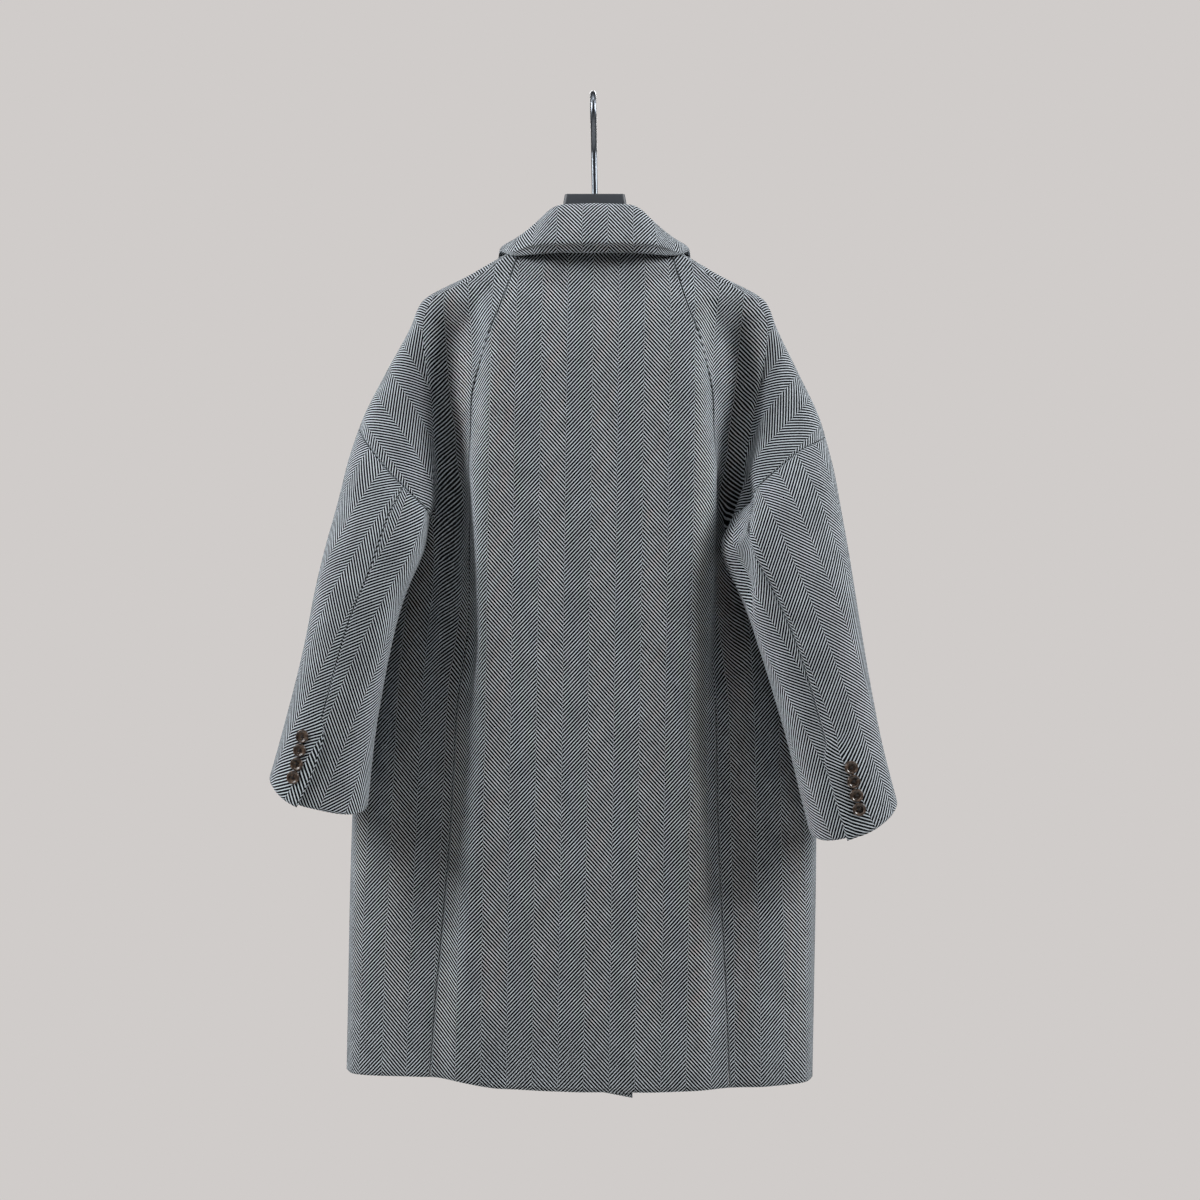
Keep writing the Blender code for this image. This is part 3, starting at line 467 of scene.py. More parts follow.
def hem_drop(side, face, share):
    """Drop of the hem, from the centre or free edge to the side seam."""
    if face == "back":
        return look(HEM, SIDE_NAMES[side], share, key="way")
    low = HEM_OUTER_FRONT_DROP if side == RIGHT else HEM_UNDER_FRONT_DROP
    high = HEM[SIDE_NAMES[side]][-1]
    return high + (low - high) * (1 - share) ** HEM_CURVE


def cap_drop(side, face, fold, shoulder, share):
    """Rows bend up from the fold to the shoulder as the armhole does."""
    return shoulder + (fold - shoulder) * look(ARMHOLE[face], SIDE_NAMES[side], share, key="way")


print("front hems' drops in mm:", [hem_drop(side, "front", 0.0) for side in SIDE_NAMES])

# %% [markdown]
# ## Draping half a body
# Drawing a section takes a moment, and the cloth needs thousands of points. So the sections are drawn
# once, every two millimetres of drop, and cut into the stretches that a tailor would name: centre,
# flank and cap. Any point is then read between them.

# %% Read between the points of a grid
def between(grid, row, column):
    """Values of a grid at part rows and part columns."""
    row, column = np.broadcast_arrays(row, column)
    row = np.clip(row, 0, len(grid) - 1)
    column = np.clip(column, 0, grid.shape[1] - 1)
    i = np.minimum(row.astype(int), len(grid) - 2)
    j = np.minimum(column.astype(int), grid.shape[1] - 2)
    a = (row - i)[..., None]
    b = (column - j)[..., None]
    upper = (1 - b) * grid[i, j] + b * grid[i, j + 1]
    lower = (1 - b) * grid[i + 1, j] + b * grid[i + 1, j + 1]
    return (1 - a) * upper + a * lower


corners = np.array([[[0.0], [1.0]], [[2.0], [3.0]]])
print("middle of a grid of 0, 1, 2 and 3:", between(corners, 0.5, 0.5)[0])

# %% A drape that can be read anywhere
# Distance of sections, points across each stretch, and reaches at which the front's height is kept
DROP_STEP = 2.0
DRAPE_END = 1120.0
SHARE_COUNT = 81
REACH_STEP = 2.0
REACHES = np.arange(0.0, 170.0, REACH_STEP)


class Drape:
    """Half of the back or of the front, as sections cut into stretches."""

    def __init__(self, side, face):
        self.side = side
        self.stretch = {}
        self.height = []
        for drop in np.arange(NECK_SIDE_DROP, DRAPE_END + 1, DROP_STEP):
            self.cut(face, drop)
        self.stretch = {name: np.array(rows) for name, rows in self.stretch.items()}
        self.height = np.array(self.height)[..., None]

    def cut(self, face, drop):
        """Add one section."""
        line, fold = section(self.side, face, drop)
        last = len(line) - 1
        if face == "back":
            seam = min(index_at_x(line, look(BACK_SEAM, "x", drop), last), fold - 2.0)
            stops = {"centre": (0.0, seam), "flank": (seam, fold)}
        else:
            edge = front_edge(drop)
            start = math.copysign(index_at_x(line, abs(edge), last), edge)
            stops = {"body": (start, fold)}
            self.height.append(np.interp(REACHES, line[:fold + 1, 0], line[:fold + 1, 1]))
        if drop <= UNDERARM_DROP:
            stops["cap"] = (fold, last)
        for name, (start, end) in stops.items():
            at = np.linspace(start, end, SHARE_COUNT)
            x = np.interp(np.abs(at), np.arange(last + 1), line[:, 0])
            y = np.interp(np.abs(at), np.arange(last + 1), line[:, 1])
            x = np.copysign(x, at)
            if name == "body":
                y = y + front_lift(self.side, x)
            self.stretch.setdefault(name, []).append(np.column_stack([x, y, at * PATH_STEP]))

    def at(self, name, share, drop):
        """Points at shares of a stretch, with their way around the section."""
        row = (drop - NECK_SIDE_DROP) / DROP_STEP
        spot = between(self.stretch[name], row, share * (SHARE_COUNT - 1))
        return place(self.side, spot[..., 0], spot[..., 1], drop), spot[..., 2]


DRAPES = {(side, face): Drape(side, face) for side in (LEFT, RIGHT) for face in ("back", "front")}
print("drapes:", len(DRAPES), "halves of", len(DRAPES[LEFT, "front"].height), "sections each")

# %% [markdown]
# ## Grid lines
# The solids have few grid lines; cloth that bends softly needs more of them. Each coarse step is split
# in five, and two close lines go beside every seam, so that its edge turns in tightly while the cloth
# next to it stays flat.

# %% Lines of the solids
# Grid lines: rows at the body's fold and at the shoulder, down to the underarm
UPPER_ROWS = table(
    "fold shoulder",
    (162, 162),
    (175, 171),
    (190, 182),
    (208, 195),
    (228, 211),
    (252, 228),
    (280, 243),
    (312, 260),
    (346, 280),
    (382, 301),
    (420, 323),
    (458, 346),
    (494, 368),
)
ARMHOLE_TOP_DROP = {LEFT: 363.0, RIGHT: 373.0}

# Rows below the underarm and columns of each stretch, as shares of it
LOWER_SHARES = np.array([0.035, 0.085, 0.15, 0.23, 0.33, 0.45, 0.58, 0.72, 0.86, 1.0])
CENTRE_SHARES = np.array([0.0, 0.26, 0.5, 0.68, 0.84, 1.0])
FLANK_SHARES = np.linspace(0.0, 1.0, 6)
CAP_SHARES = np.array([0.0, 0.12, 0.225, 0.386, 0.53, 0.68, 0.84, 1.0])
FRONT_SHARES = np.array([0.0, 0.17, 0.34, 0.5, 0.64, 0.77, 0.89, 1.0])
FRONT_CAP_SHARES = np.array([0.0, 0.17, 0.34, 0.5, 0.67, 0.83, 1.0])

# Columns where the seams of the sleeve meet the armhole
SEAM_COLUMN = {LEFT: 3, RIGHT: 2}
FRONT_SEAM_COLUMN = 4
print("coarse rows:", len(UPPER_ROWS["fold"]) + len(LOWER_SHARES))

# %% Finer lines
FINER = 5
NEAR = 0.07


def lines(count, *edges):
    """Places of fine lines among coarse ones, with close ones beside each edge."""
    at = list(np.linspace(0, count - 1, FINER * (count - 1) + 1))
    for edge in edges:
        at += [spot for spot in (edge - NEAR, edge + NEAR) if 0 < spot < count - 1]
    return np.array(sorted(at))


def finer(values, at):
    """Coarse values read at the fine lines."""
    return np.interp(at, np.arange(len(values)), values)


UPPER_AT = lines(len(UPPER_ROWS["fold"]), 0, len(UPPER_ROWS["fold"]) - 1)
LOWER_AT = lines(len(LOWER_SHARES) + 1, len(LOWER_SHARES))
LOWER = finer(np.concatenate([[0.0], LOWER_SHARES]), LOWER_AT)[1:]
CENTRE = finer(CENTRE_SHARES, lines(len(CENTRE_SHARES), len(CENTRE_SHARES) - 1))
FLANK = finer(FLANK_SHARES, lines(len(FLANK_SHARES), 0, len(FLANK_SHARES) - 1))
FRONT_BODY = finer(FRONT_SHARES, lines(len(FRONT_SHARES), 0, len(FRONT_SHARES) - 1))
LAST_FRONT_CAP = len(FRONT_CAP_SHARES) - 1
FRONT_CAP_AT = lines(LAST_FRONT_CAP + 1, LAST_FRONT_CAP - FRONT_SEAM_COLUMN, LAST_FRONT_CAP)
FRONT_CAP = finer(FRONT_CAP_SHARES, FRONT_CAP_AT)
CAP_AT = {side: lines(len(CAP_SHARES), SEAM_COLUMN[side], len(CAP_SHARES) - 1) for side in SIDE_NAMES}


def upper_rows(side):
    """Drops of the upper rows at the fold and at the shoulder of one side."""
    stretch = (ARMHOLE_TOP_DROP[side] - NECK_SIDE_DROP) / (UPPER_ROWS["shoulder"][-1] - NECK_SIDE_DROP)
    shoulder = NECK_SIDE_DROP + (UPPER_ROWS["shoulder"] - NECK_SIDE_DROP) * stretch
    return finer(UPPER_ROWS["fold"], UPPER_AT), finer(shoulder, UPPER_AT)


print("rows:", len(UPPER_AT) + len(LOWER), " columns of the centre back:", 2 * len(CENTRE) - 1)

# %% [markdown]
# ## Cutting the panels
# A patch is a grid of points with two maps. One map says where a point lies on the woven cloth, so
# the herringbone runs straight down a panel and slants on the sleeve, as the cutter laid the pattern
# on the bolt. The other is the panel laid flat, for baking.

# %% A patch and its maps
# Width of a herringbone column, and where the middle one hangs, all in mm
COLUMN_WIDTH = 27.6
APEX_TOP = 0.1
APEX_DROP = 231.0
APEX_LEAN = -10.6 / 806


class Patch:
    """Part of a panel: points, weave map and flat map, all in millimetres."""

    def __init__(self, points, weave, flat, flip):
        self.points = points
        self.weave = weave
        self.flat = flat
        self.flip = flip


def body_weave(side, arc, drop):
    """The middle column of the weave hangs with the coat and leans a little."""
    apex = APEX_TOP + APEX_LEAN * (drop - APEX_DROP)
    return np.stack([side * arc + centre_line(drop) - apex, drop], axis=-1)


def grid_normals(points, flip):
    """Normals of a grid weighted by area, not yet of length one."""
    across = np.cross(points[1:, 1:] - points[:-1, :-1], points[:-1, 1:] - points[1:, :-1])
    total = np.zeros_like(points)
    rows, columns = across.shape[:2]
    for r in (0, 1):
        for c in (0, 1):
            total[r:rows + r, c:columns + c] += across
    return -total if flip else total


def flat_map(side, arc, drop):
    """The panel laid flat: its way around and its drop."""
    return np.stack(np.broadcast_arrays(side * arc, drop), axis=-1)


print("a herringbone column is", COLUMN_WIDTH, "mm wide and leans by", round(APEX_LEAN, 4))

# %% [markdown]
# ## Unrolling the bent patches
# The shoulder caps and the sleeves bend two ways, so no flat map of them is free of stretch. A map
# from above would squash the ribs where the cloth turns away. Here the patch is treated as a net whose
# cells may turn but want to keep their size, and the pulls along its edges are settled in rounds.

# %% A net of weighed edges
WEIGHTS = (0.02, 50)


class Net:
    """Edges of a grid, each weighed by the cloth beside it, with the equations of their pulls solved."""

    def __init__(self, points):
        tall = np.linalg.norm(np.diff(points, axis=0), axis=-1)
        wide = np.linalg.norm(np.diff(points, axis=1), axis=-1)
        high = (np.pad(tall, ((1, 0), (0, 0))) + np.pad(tall, ((0, 1), (0, 0)))) / 2
        broad = (np.pad(wide, ((0, 0), (1, 0))) + np.pad(wide, ((0, 0), (0, 1)))) / 2
        self.area = high * broad
        self.by_row = np.clip((broad[:-1] + broad[1:]) / 2 / tall, *WEIGHTS)
        self.by_column = np.clip((high[:, :-1] + high[:, 1:]) / 2 / wide, *WEIGHTS)
        held = self.pulled(self.by_row, self.by_column, 1)
        held[0, 0] += 1
        self.solved = []
        for k, row in enumerate(held):
            own = np.diag(row) - np.diag(self.by_column[k], 1) - np.diag(self.by_column[k], -1)
            if k:
                own -= self.by_row[k - 1][:, None] * self.solved[-1] * self.by_row[k - 1]
            self.solved.append(np.linalg.inv(own))

    def pulled(self, rows, columns, before):
        """What the edges give each point of the grid, those that leave it times a factor."""
        total = np.pad(rows, ((1, 0), (0, 0))) + before * np.pad(rows, ((0, 1), (0, 0)))
        return total + np.pad(columns, ((0, 0), (1, 0))) + before * np.pad(columns, ((0, 0), (0, 1)))

    def add_up(self, down, across):
        """Values over the grid whose steps come as near as they can to the wanted ones."""
        values = self.pulled(self.by_row * down, self.by_column * across, -1)
        for k in range(1, len(values)):
            values[k] += self.by_row[k - 1] * (self.solved[k - 1] @ values[k - 1])
        values[-1] = self.solved[-1] @ values[-1]
        for k in range(len(values) - 2, -1, -1):
            values[k] = self.solved[k] @ (values[k] + self.by_row[k] * values[k + 1])
        return values


square = np.stack(np.meshgrid([0.0, 1.0, 2.0], [0.0, 1.0, 2.0], [0.0]), axis=-1)[:, :, 0]
print("cloth at the points of a small net:", Net(square).area.ravel())

# %% Unroll a patch
RELAXING = 30
STEADY = 0.002


def unroll(points, flip, lean, start):
    """Weave map of a bent patch, its columns leaning by an angle, with as little stretch as can be."""
    net = Net(points)
    normals = grid_normals(points, flip)
    normals /= np.linalg.norm(normals, axis=-1, keepdims=True)
    steps = np.stack(np.gradient(points, axis=(0, 1)), axis=-2)
    along = steps[..., 0, :] - normals * np.sum(normals * steps[..., 0, :], axis=-1, keepdims=True)
    along /= np.linalg.norm(along, axis=-1, keepdims=True)
    level = np.cross(normals, along)
    tangents = steps @ np.stack([level, along], axis=-1)
    flipped = np.swapaxes(tangents, -1, -2)
    inverse = np.linalg.inv(flipped @ tangents + STEADY * np.eye(2)) @ flipped
    turn = np.zeros(points.shape[:2])
    for _ in range(RELAXING):
        cos, sin = np.cos(turn)[..., None], np.sin(turn)[..., None]
        maps = []
        for way in (level * cos - along * sin, along * cos + level * sin):
            rows = np.sum(np.diff(points, axis=0) * (way[1:] + way[:-1]) / 2, axis=-1)
            columns = np.sum(np.diff(points, axis=1) * (way[:, 1:] + way[:, :-1]) / 2, axis=-1)
            maps.append(net.add_up(rows, columns))
        slopes = np.stack([np.stack(np.gradient(found), axis=-1) for found in maps], axis=-1)
        grown = inverse @ slopes
        turn = np.arctan2(grown[..., 0, 1] - grown[..., 1, 0], grown[..., 0, 0] + grown[..., 1, 1])
    over, down = (found - found[-1, 0] for found in maps)
    slopes = turn + np.arctan2(-level[..., 2], -along[..., 2])
    swing = lean - np.angle(np.sum(net.area * np.exp(1j * slopes)))
    cos, sin = math.cos(swing), math.sin(swing)
    return np.stack([over * cos - down * sin + start, down * cos + over * sin], axis=-1)


print("rounds of relaxing for each patch:", RELAXING)

# %% Patches of the back
# Lean of the weave over each shoulder, and where its first column starts in mm
CAP_LEAN = {LEFT: math.radians(38.6), RIGHT: math.radians(-36.75)}
CAP_START = {LEFT: 30.0, RIGHT: 19.35}

# Share of the hem from the centre to the back seam, and where the neck's sag ends
SEAM_SHARE = 0.6
SAG_END_DROP = 230.0


def hung(side, points, arc, drop, flip):
    """A patch whose weave hangs straight with the coat."""
    return Patch(points, body_weave(side, arc, drop), flat_map(side, arc, drop), flip)


def slanted(side, points, arc, drop, flip, lean):
    """A patch over the shoulder, whose weave leans."""
    return Patch(points, unroll(points, flip, lean, CAP_START[side]), flat_map(side, arc, drop), flip)


def below(hem):
    """Drops of the rows from the underarm down to a hem."""
    return UNDERARM_DROP + (hem - UNDERARM_DROP) * LOWER[:, None]


def back_patches(side):
    """Centre, flank and cap of one half of the back."""
    drape = DRAPES[side, "back"]
    cap_shares = finer(CAP_SHARES, CAP_AT[side])
    fold, shoulder = (rows[:, None] for rows in upper_rows(side))
    sag = (NECK_BACK_DROP - NECK_SIDE_DROP) * (1 - ramp(fold, NECK_SIDE_DROP, SAG_END_DROP))
    centre_hem = hem_drop(side, "back", SEAM_SHARE * CENTRE)
    flank_hem = hem_drop(side, "back", SEAM_SHARE + (1 - SEAM_SHARE) * FLANK)
    centre_drops = np.vstack([fold + sag * (1 - CENTRE ** 2), below(centre_hem)])
    flank_drops = np.vstack([fold + 0 * FLANK, below(flank_hem)])
    cap_drops = cap_drop(side, "back", fold, shoulder, cap_shares)
    centre, centre_arc = drape.at("centre", CENTRE, centre_drops)
    flank, flank_arc = drape.at("flank", FLANK, flank_drops)
    cap, cap_arc = drape.at("cap", cap_shares, cap_drops)
    flank[:, 0] = centre[:, -1]
    cap[:, 0] = flank[:len(cap), -1]
    flip = side == LEFT
    return (hung(side, centre, centre_arc, centre_drops, flip),
            hung(side, flank, flank_arc, flank_drops, flip),
            slanted(side, cap, cap_arc, cap_drops, flip, CAP_LEAN[side]))


backs = {side: back_patches(side) for side in SIDE_NAMES}
print("back patches:", [patch.points.shape[:2] for patch in backs[LEFT]])

# %% Patches of the fronts
def front_patches(side):
    """Body and cap of one front; its shoulder and side edges are the back's own points."""
    drape = DRAPES[side, "front"]
    back_flank, back_cap = backs[side][1:]
    fold, shoulder = (rows[:, None] for rows in upper_rows(side))
    hem = hem_drop(side, "front", FRONT_BODY)
    drops = np.vstack([fold + 0 * FRONT_BODY, below(hem)])
    cap_drops = cap_drop(side, "front", fold, shoulder, FRONT_CAP)
    body, arc = drape.at("body", FRONT_BODY, drops)
    cap, cap_arc = drape.at("cap", FRONT_CAP, cap_drops)
    upper = len(cap)
    cap[:, -1] = back_cap.points[:, -1]
    cap[-1, 0] = back_cap.points[-1, 0]
    body[upper - 1:, -1] = back_flank.points[upper - 1:, -1]
    cap[:, 0] = body[:upper, -1]
    flip = side == RIGHT
    return (hung(side, body, arc, drops, flip),
            slanted(side, cap, cap_arc, cap_drops, flip, -CAP_LEAN[side]))


fronts = {side: front_patches(side) for side in SIDE_NAMES}
print("front patches:", [patch.points.shape[:2] for patch in fronts[LEFT]])

# %% [markdown]
# ## Sleeves
# A coat sleeve has two panels, and its back seam runs from the armhole to the vent at the cuff. Both
# panels start from the very points of the armhole, so that nothing gapes there. At the vent the upper
# panel laps over the under one and its corner hangs a little lower, which casts the dark line there.

# %% Tables of the sleeves
# Back seam of each sleeve: angle around the arm against the way to the cuff
SLEEVE_SEAM = {
    LEFT: table(
        "way angle",
        (0.00, 145),
        (0.10, 117),
        (0.25, 97),
        (0.50, 87),
        (0.75, 83),
        (0.88, 80),
        (1.00, 71),
    ),
    RIGHT: table(
        "way angle",
        (0.00, 183),
        (0.15, 133),
        (0.30, 113),
        (0.50, 104),
        (0.80, 101),
        (1.00, 97),
    ),
}
FRONT_SEAM_CUFF_ANGLE = -110.0
CUFF_OUTER_DROP = {LEFT: 741.0, RIGHT: 767.0}
CUFF_SLANT = {LEFT: 34.0, RIGHT: 36.0}
CUFF_BACK_DROOP = 15.0
SLEEVE_WAYS = np.array([0.0, 0.07, 0.15, 0.25, 0.37, 0.5, 0.64, 0.78, 0.9, 1.0])
print("cuffs' outer drops in mm:", CUFF_OUTER_DROP)

# %% Ways around the arm
# Angles to both sides of the arm's outer edge, and drops in mm, at which its girth is measured
ARC_ANGLE = 250.0
ARC_ANGLE_STEP = 2.5
ARC_TOP_DROP = 320.0
ARC_END_DROP = 860.0
ARC_DROP_STEP = 10.0


def cuff_drop(side, angle):
    """Drop of the cuff's edge, which slants and droops at the back."""
    around = np.radians(angle)
    slant = CUFF_SLANT[side] * (1 - np.cos(around)) / 2
    return CUFF_OUTER_DROP[side] + slant + CUFF_BACK_DROOP * np.sin(around)


def arm_arcs(side):
    """Way around the arm from its back, outward, for rows of drop and columns of angle."""
    angles = np.arange(ARC_ANGLE, -ARC_ANGLE - 1, -ARC_ANGLE_STEP)
    drops = np.arange(ARC_TOP_DROP, ARC_END_DROP + 1, ARC_DROP_STEP)
    x, y = arm_point(side, angles[None, :], drops[:, None])
    step = np.hypot(np.diff(x, axis=1), np.diff(y, axis=1))
    way = np.concatenate([np.zeros((len(drops), 1)), np.cumsum(step, axis=1)], axis=1)
    return way - way[:, [int(np.argmin(np.abs(angles - 90)))]]


ARM_ARCS = {side: arm_arcs(side)[..., None] for side in SIDE_NAMES}


def arm_arc(side, angle, drop):
    """Way around the arm at any angle and drop."""
    row = (drop - ARC_TOP_DROP) / ARC_DROP_STEP
    return between(ARM_ARCS[side], row, (ARC_ANGLE - angle) / ARC_ANGLE_STEP)[..., 0]


print("around the left arm in mm:", np.round(np.ptp(ARM_ARCS[LEFT], axis=1).ravel()[[0, -1]], 0))

# %% Points of a sleeve
# Ways to the cuff by which columns are evenly spread and by which the armhole's own points are left
SPREAD_BY = 0.6
JOINED_BY = 0.3


def sleeve_points(side, armhole, angles, spots, front_seam):
    """Rows from the armhole to the cuff, columns from the back seam once around the arm."""
    ways = finer(SLEEVE_WAYS, lines(len(SLEEVE_WAYS), 0, len(SLEEVE_WAYS) - 1))[:, None]
    whole, turn_at = len(CAP_SHARES) + len(FRONT_CAP_SHARES) - 2, spots[front_seam]
    tops = -armhole[:, 2]
    seam_angle = look(SLEEVE_SEAM[side], "angle", ways, key="way")
    front_angle = angles[front_seam] + (FRONT_SEAM_CUFF_ANGLE - angles[front_seam]) * ways
    upper = spots <= turn_at
    over = (angles[0] - angles) / (angles[0] - angles[front_seam])
    under = (angles[front_seam] - angles) / (angles[front_seam] - angles[0] + 360)
    start = np.where(upper, over, under)
    level = np.where(upper, spots / turn_at, (spots - turn_at) / (whole - turn_at))
    share = start + (level - start) * ramp(ways, 0, SPREAD_BY)
    turned = np.where(upper, seam_angle + (front_angle - seam_angle) * share,
                      front_angle + (seam_angle - 360 - front_angle) * share)
    drops = tops + (cuff_drop(side, turned) - tops) * ways
    points = place(side, *arm_point(side, turned, drops), drops)
    first = place(side, *arm_point(side, angles, tops), tops)
    points = points + (armhole - first) * (1 - ramp(ways, 0, JOINED_BY))[..., None]
    points[0] = armhole
    return ways, points, turned, drops


print("rows of a sleeve:", len(lines(len(SLEEVE_WAYS), 0, len(SLEEVE_WAYS) - 1)))

# %% Lap the vent
# Ways to the cuff as shares of it; lap, lift and the corner's droop in mm
VENT_TOP = 0.72
VENT_COLUMNS = 1.6
VENT_LAP = 5.0
VENT_LIFT = 3.0
VENT_CORNER = 5.0
VENT_OPENS = 0.06
VENT_BLEND = 0.02
VENT_CORNER_FROM = 0.86
VENT_ROUND = 1.5


def lap_vent(side, upper, ways, near, angle, drop):
    """Lay the upper sleeve over the under one at the vent and let its corner hang."""
    free = ramp(ways, VENT_TOP, VENT_TOP + VENT_OPENS)
    drop = drop + VENT_CORNER * near * ramp(ways, VENT_CORNER_FROM, 1.0)
    inner, outer, middle, half = (look(ARMS[side], name, drop)
                                  for name in ("inner", "outer", "middle", "half"))
    lapped = angle + np.degrees(VENT_LAP / half) * near * free
    raised = place(side, *arm_point(side, lapped, drop), drop)
    away = raised - place(side, (inner + outer) / 2, middle, drop)
    away /= np.linalg.norm(away, axis=-1, keepdims=True)
    raised += away * (VENT_LIFT * near ** VENT_ROUND * free)[..., None]
    amount = ramp(ways, VENT_TOP - VENT_BLEND, VENT_TOP)[..., None]
    upper.points = upper.points * (1 - amount) + raised * amount


print("vent, as a share of the sleeve:", round(1 - VENT_TOP, 2))

# %% Patches of the sleeves
# Lean of the weave on the upper and the under sleeve, and where its first column starts in mm
ARM_LEAN = {LEFT: np.radians([-14.35, 5.7]), RIGHT: np.radians([8.9, -6.65])}
ARM_START = {LEFT: (12.4, 27.5), RIGHT: (0.9, 0.9)}


def sleeve_patches(side):
    """Upper and under sleeve of one side."""
    back, front = backs[side][2].points[-1], fronts[side][1].points[-1]
    back_angles = UNDERARM_ANGLE * (1 - finer(CAP_SHARES, CAP_AT[side]))
    front_angles = -(360 - UNDERARM_ANGLE) * (1 - FRONT_CAP)
    seam = int(np.searchsorted(CAP_AT[side], SEAM_COLUMN[side] - 1e-6))
    front_at = int(np.searchsorted(FRONT_CAP_AT, LAST_FRONT_CAP - FRONT_SEAM_COLUMN - 1e-6))
    armhole = np.vstack([back[seam:], front[::-1][1:], back[1:seam]])
    angles = np.concatenate([back_angles[seam:], front_angles[::-1][1:], back_angles[1:seam] - 360])
    front_seam = len(back) - seam - 1 + len(FRONT_CAP) - 1 - front_at
    behind = len(CAP_SHARES) - 1 - SEAM_COLUMN[side]
    before = behind + len(FRONT_CAP_SHARES) - 1
    spots = np.concatenate([CAP_AT[side][seam:] - SEAM_COLUMN[side], before - FRONT_CAP_AT[::-1][1:],
                            before + CAP_AT[side][1:seam]])
    ways, points, turned, drops = sleeve_points(side, armhole, angles, spots, front_seam)
    points = np.concatenate([points, points[:, :1]], axis=1)
    turned = np.concatenate([turned, turned[:, :1] - 360], axis=1)
    drops = np.concatenate([drops, drops[:, :1]], axis=1)
    made = []
    for part, columns, whole_turn in ((0, slice(0, front_seam + 1), 0), (1, slice(front_seam, None), 360)):
        panel = points[:, columns].copy()
        arc = arm_arc(side, turned[:, columns] + whole_turn, drops[:, columns])
        weave = unroll(panel, side == LEFT, ARM_LEAN[side][part], ARM_START[side][part])
        made.append(Patch(panel, weave, flat_map(1, arc, drops[:, columns]), side == LEFT))
    near = np.clip(1 - spots[:front_seam + 1] / VENT_COLUMNS, 0, 1)
    lap_vent(side, made[0], ways, near, turned[:, :front_seam + 1], drops[:, :front_seam + 1])
    return made


sleeves = {side: sleeve_patches(side) for side in SIDE_NAMES}
print("sleeve patches:", [patch.points.shape[:2] for side in SIDE_NAMES for patch in sleeves[side]])

# %% [markdown]
# ## Sewing the panels into one skin
# Cloth that is sewn together turns together at the seam. So the normals are gathered over all panels
# and shared wherever their points meet, and only then is each panel thickened by itself.

# %% Shared normals
PANELS = {"back_centre": [backs[LEFT][0], backs[RIGHT][0]]}
for side, label in SIDE_NAMES.items():
    PANELS["side_back_" + label] = list(backs[side][1:])
    PANELS["front_" + label] = list(fronts[side])
    PANELS["upper_sleeve_" + label] = [sleeves[side][0]]
    PANELS["under_sleeve_" + label] = [sleeves[side][1]]
ALL_PATCHES = [patch for patches in PANELS.values() for patch in patches]

# Decimals of a millimetre to which meeting points agree, and the way the underarm's corner faces
WELD = 2
UNDERARM_OUT = 0.8
UNDERARM_DOWN = 0.3


def stacked(patches, key):
    """One list of a value of every point of some patches."""
    parts = [getattr(patch, key) for patch in patches]
    return np.vstack([part.reshape(-1, part.shape[-1]) for part in parts])


def share_normals():
    """Give every patch normals that agree wherever panels meet."""
    points = stacked(ALL_PATCHES, "points")
    loose = np.vstack([grid_normals(patch.points, patch.flip).reshape(-1, 3) for patch in ALL_PATCHES])
    ids = np.unique(np.round(points, WELD), axis=0, return_inverse=True)[1].ravel()
    total = np.zeros((ids.max() + 1, 3))
    np.add.at(total, ids, loose)
    total /= np.linalg.norm(total, axis=1, keepdims=True)
    start = 0
    for patch in ALL_PATCHES:
        count = patch.points[..., 0].size
        patch.normals = total[ids[start:start + count]].reshape(patch.points.shape)
        start += count
    for side, label in SIDE_NAMES.items():
        lean = np.array([side * UNDERARM_OUT, 0.0, -UNDERARM_DOWN])
        lean /= math.hypot(UNDERARM_OUT, UNDERARM_DOWN)
        corner = np.round(backs[side][2].points[-1, 0], WELD)
        for name, turn in (("side_back_", 1), ("front_", 1), ("under_sleeve_", -1)):
            for patch in PANELS[name + label]:
                here = np.all(np.round(patch.points, WELD) == corner, axis=-1)
                patch.normals[here] = lean * turn
    return len(total)


print("points of the sewn skin:", share_normals())

# %% [markdown]
# ## Creases placed one by one
# Heavy wool falls in a few broad swells, with short drag lines only where it is pulled: at the
# shoulders, under the arms and inside the elbows. Each crease below is a line on the back with a width
# and a height, less than nought for a trough. No two are alike, because folds in cloth never are.

# %% Where the creases run
# Line as reach and drop, width and height, in mm
CREASES = (
    (((-57, 250), (-8, 246), (50, 248)), 9, -1.0),
    (((-114, 700), (-120, 876), (-133, 1010)), 17, 2.6),
    (((105, 720), (114, 876), (122, 1040)), 15, 2.2),
    (((-20, 560), (-4, 725), (-8, 900)), 30, -2.2),
    (((46, 610), (60, 830)), 22, 1.5),
    (((-64, 540), (-79, 768), (-68, 980)), 21, 1.7),
    (((-180, 930), (-190, 1180)), 17, 3.2),
    (((-84, 980), (-80, 1190)), 20, -2.2),
    (((52, 990), (60, 1200)), 24, 2.0),
    (((174, 950), (186, 1180)), 16, 2.6),
    (((-182, 240), (-179, 290), (-177, 337), (-175, 413), (-178, 500)), 6, 5.0),
    (((189, 248), (178, 319), (171, 357), (164, 389), (160, 435), (157, 500)), 6, 5.0),
    (((-92, 194), (-130, 230), (-160, 284)), 8, -1.8),
    (((102, 210), (142, 250), (166, 312)), 8, -1.7),
    (((-204, 446), (-195, 478), (-184, 505)), 5, -2.4),
    (((-208, 500), (-226, 574), (-236, 664)), 9, 1.6),
    (((-272, 500), (-250, 526), (-228, 548)), 8, -2.0),
    (((-308, 588), (-284, 610), (-258, 640)), 9, -1.4),
    (((172, 444), (158, 474), (144, 500)), 6, 2.2),
    (((200, 456), (175, 497), (152, 530)), 7, -2.3),
    (((268, 540), (240, 572), (212, 606)), 9, -1.8),
    (((304, 640), (278, 664), (248, 690)), 9, -1.4),
)
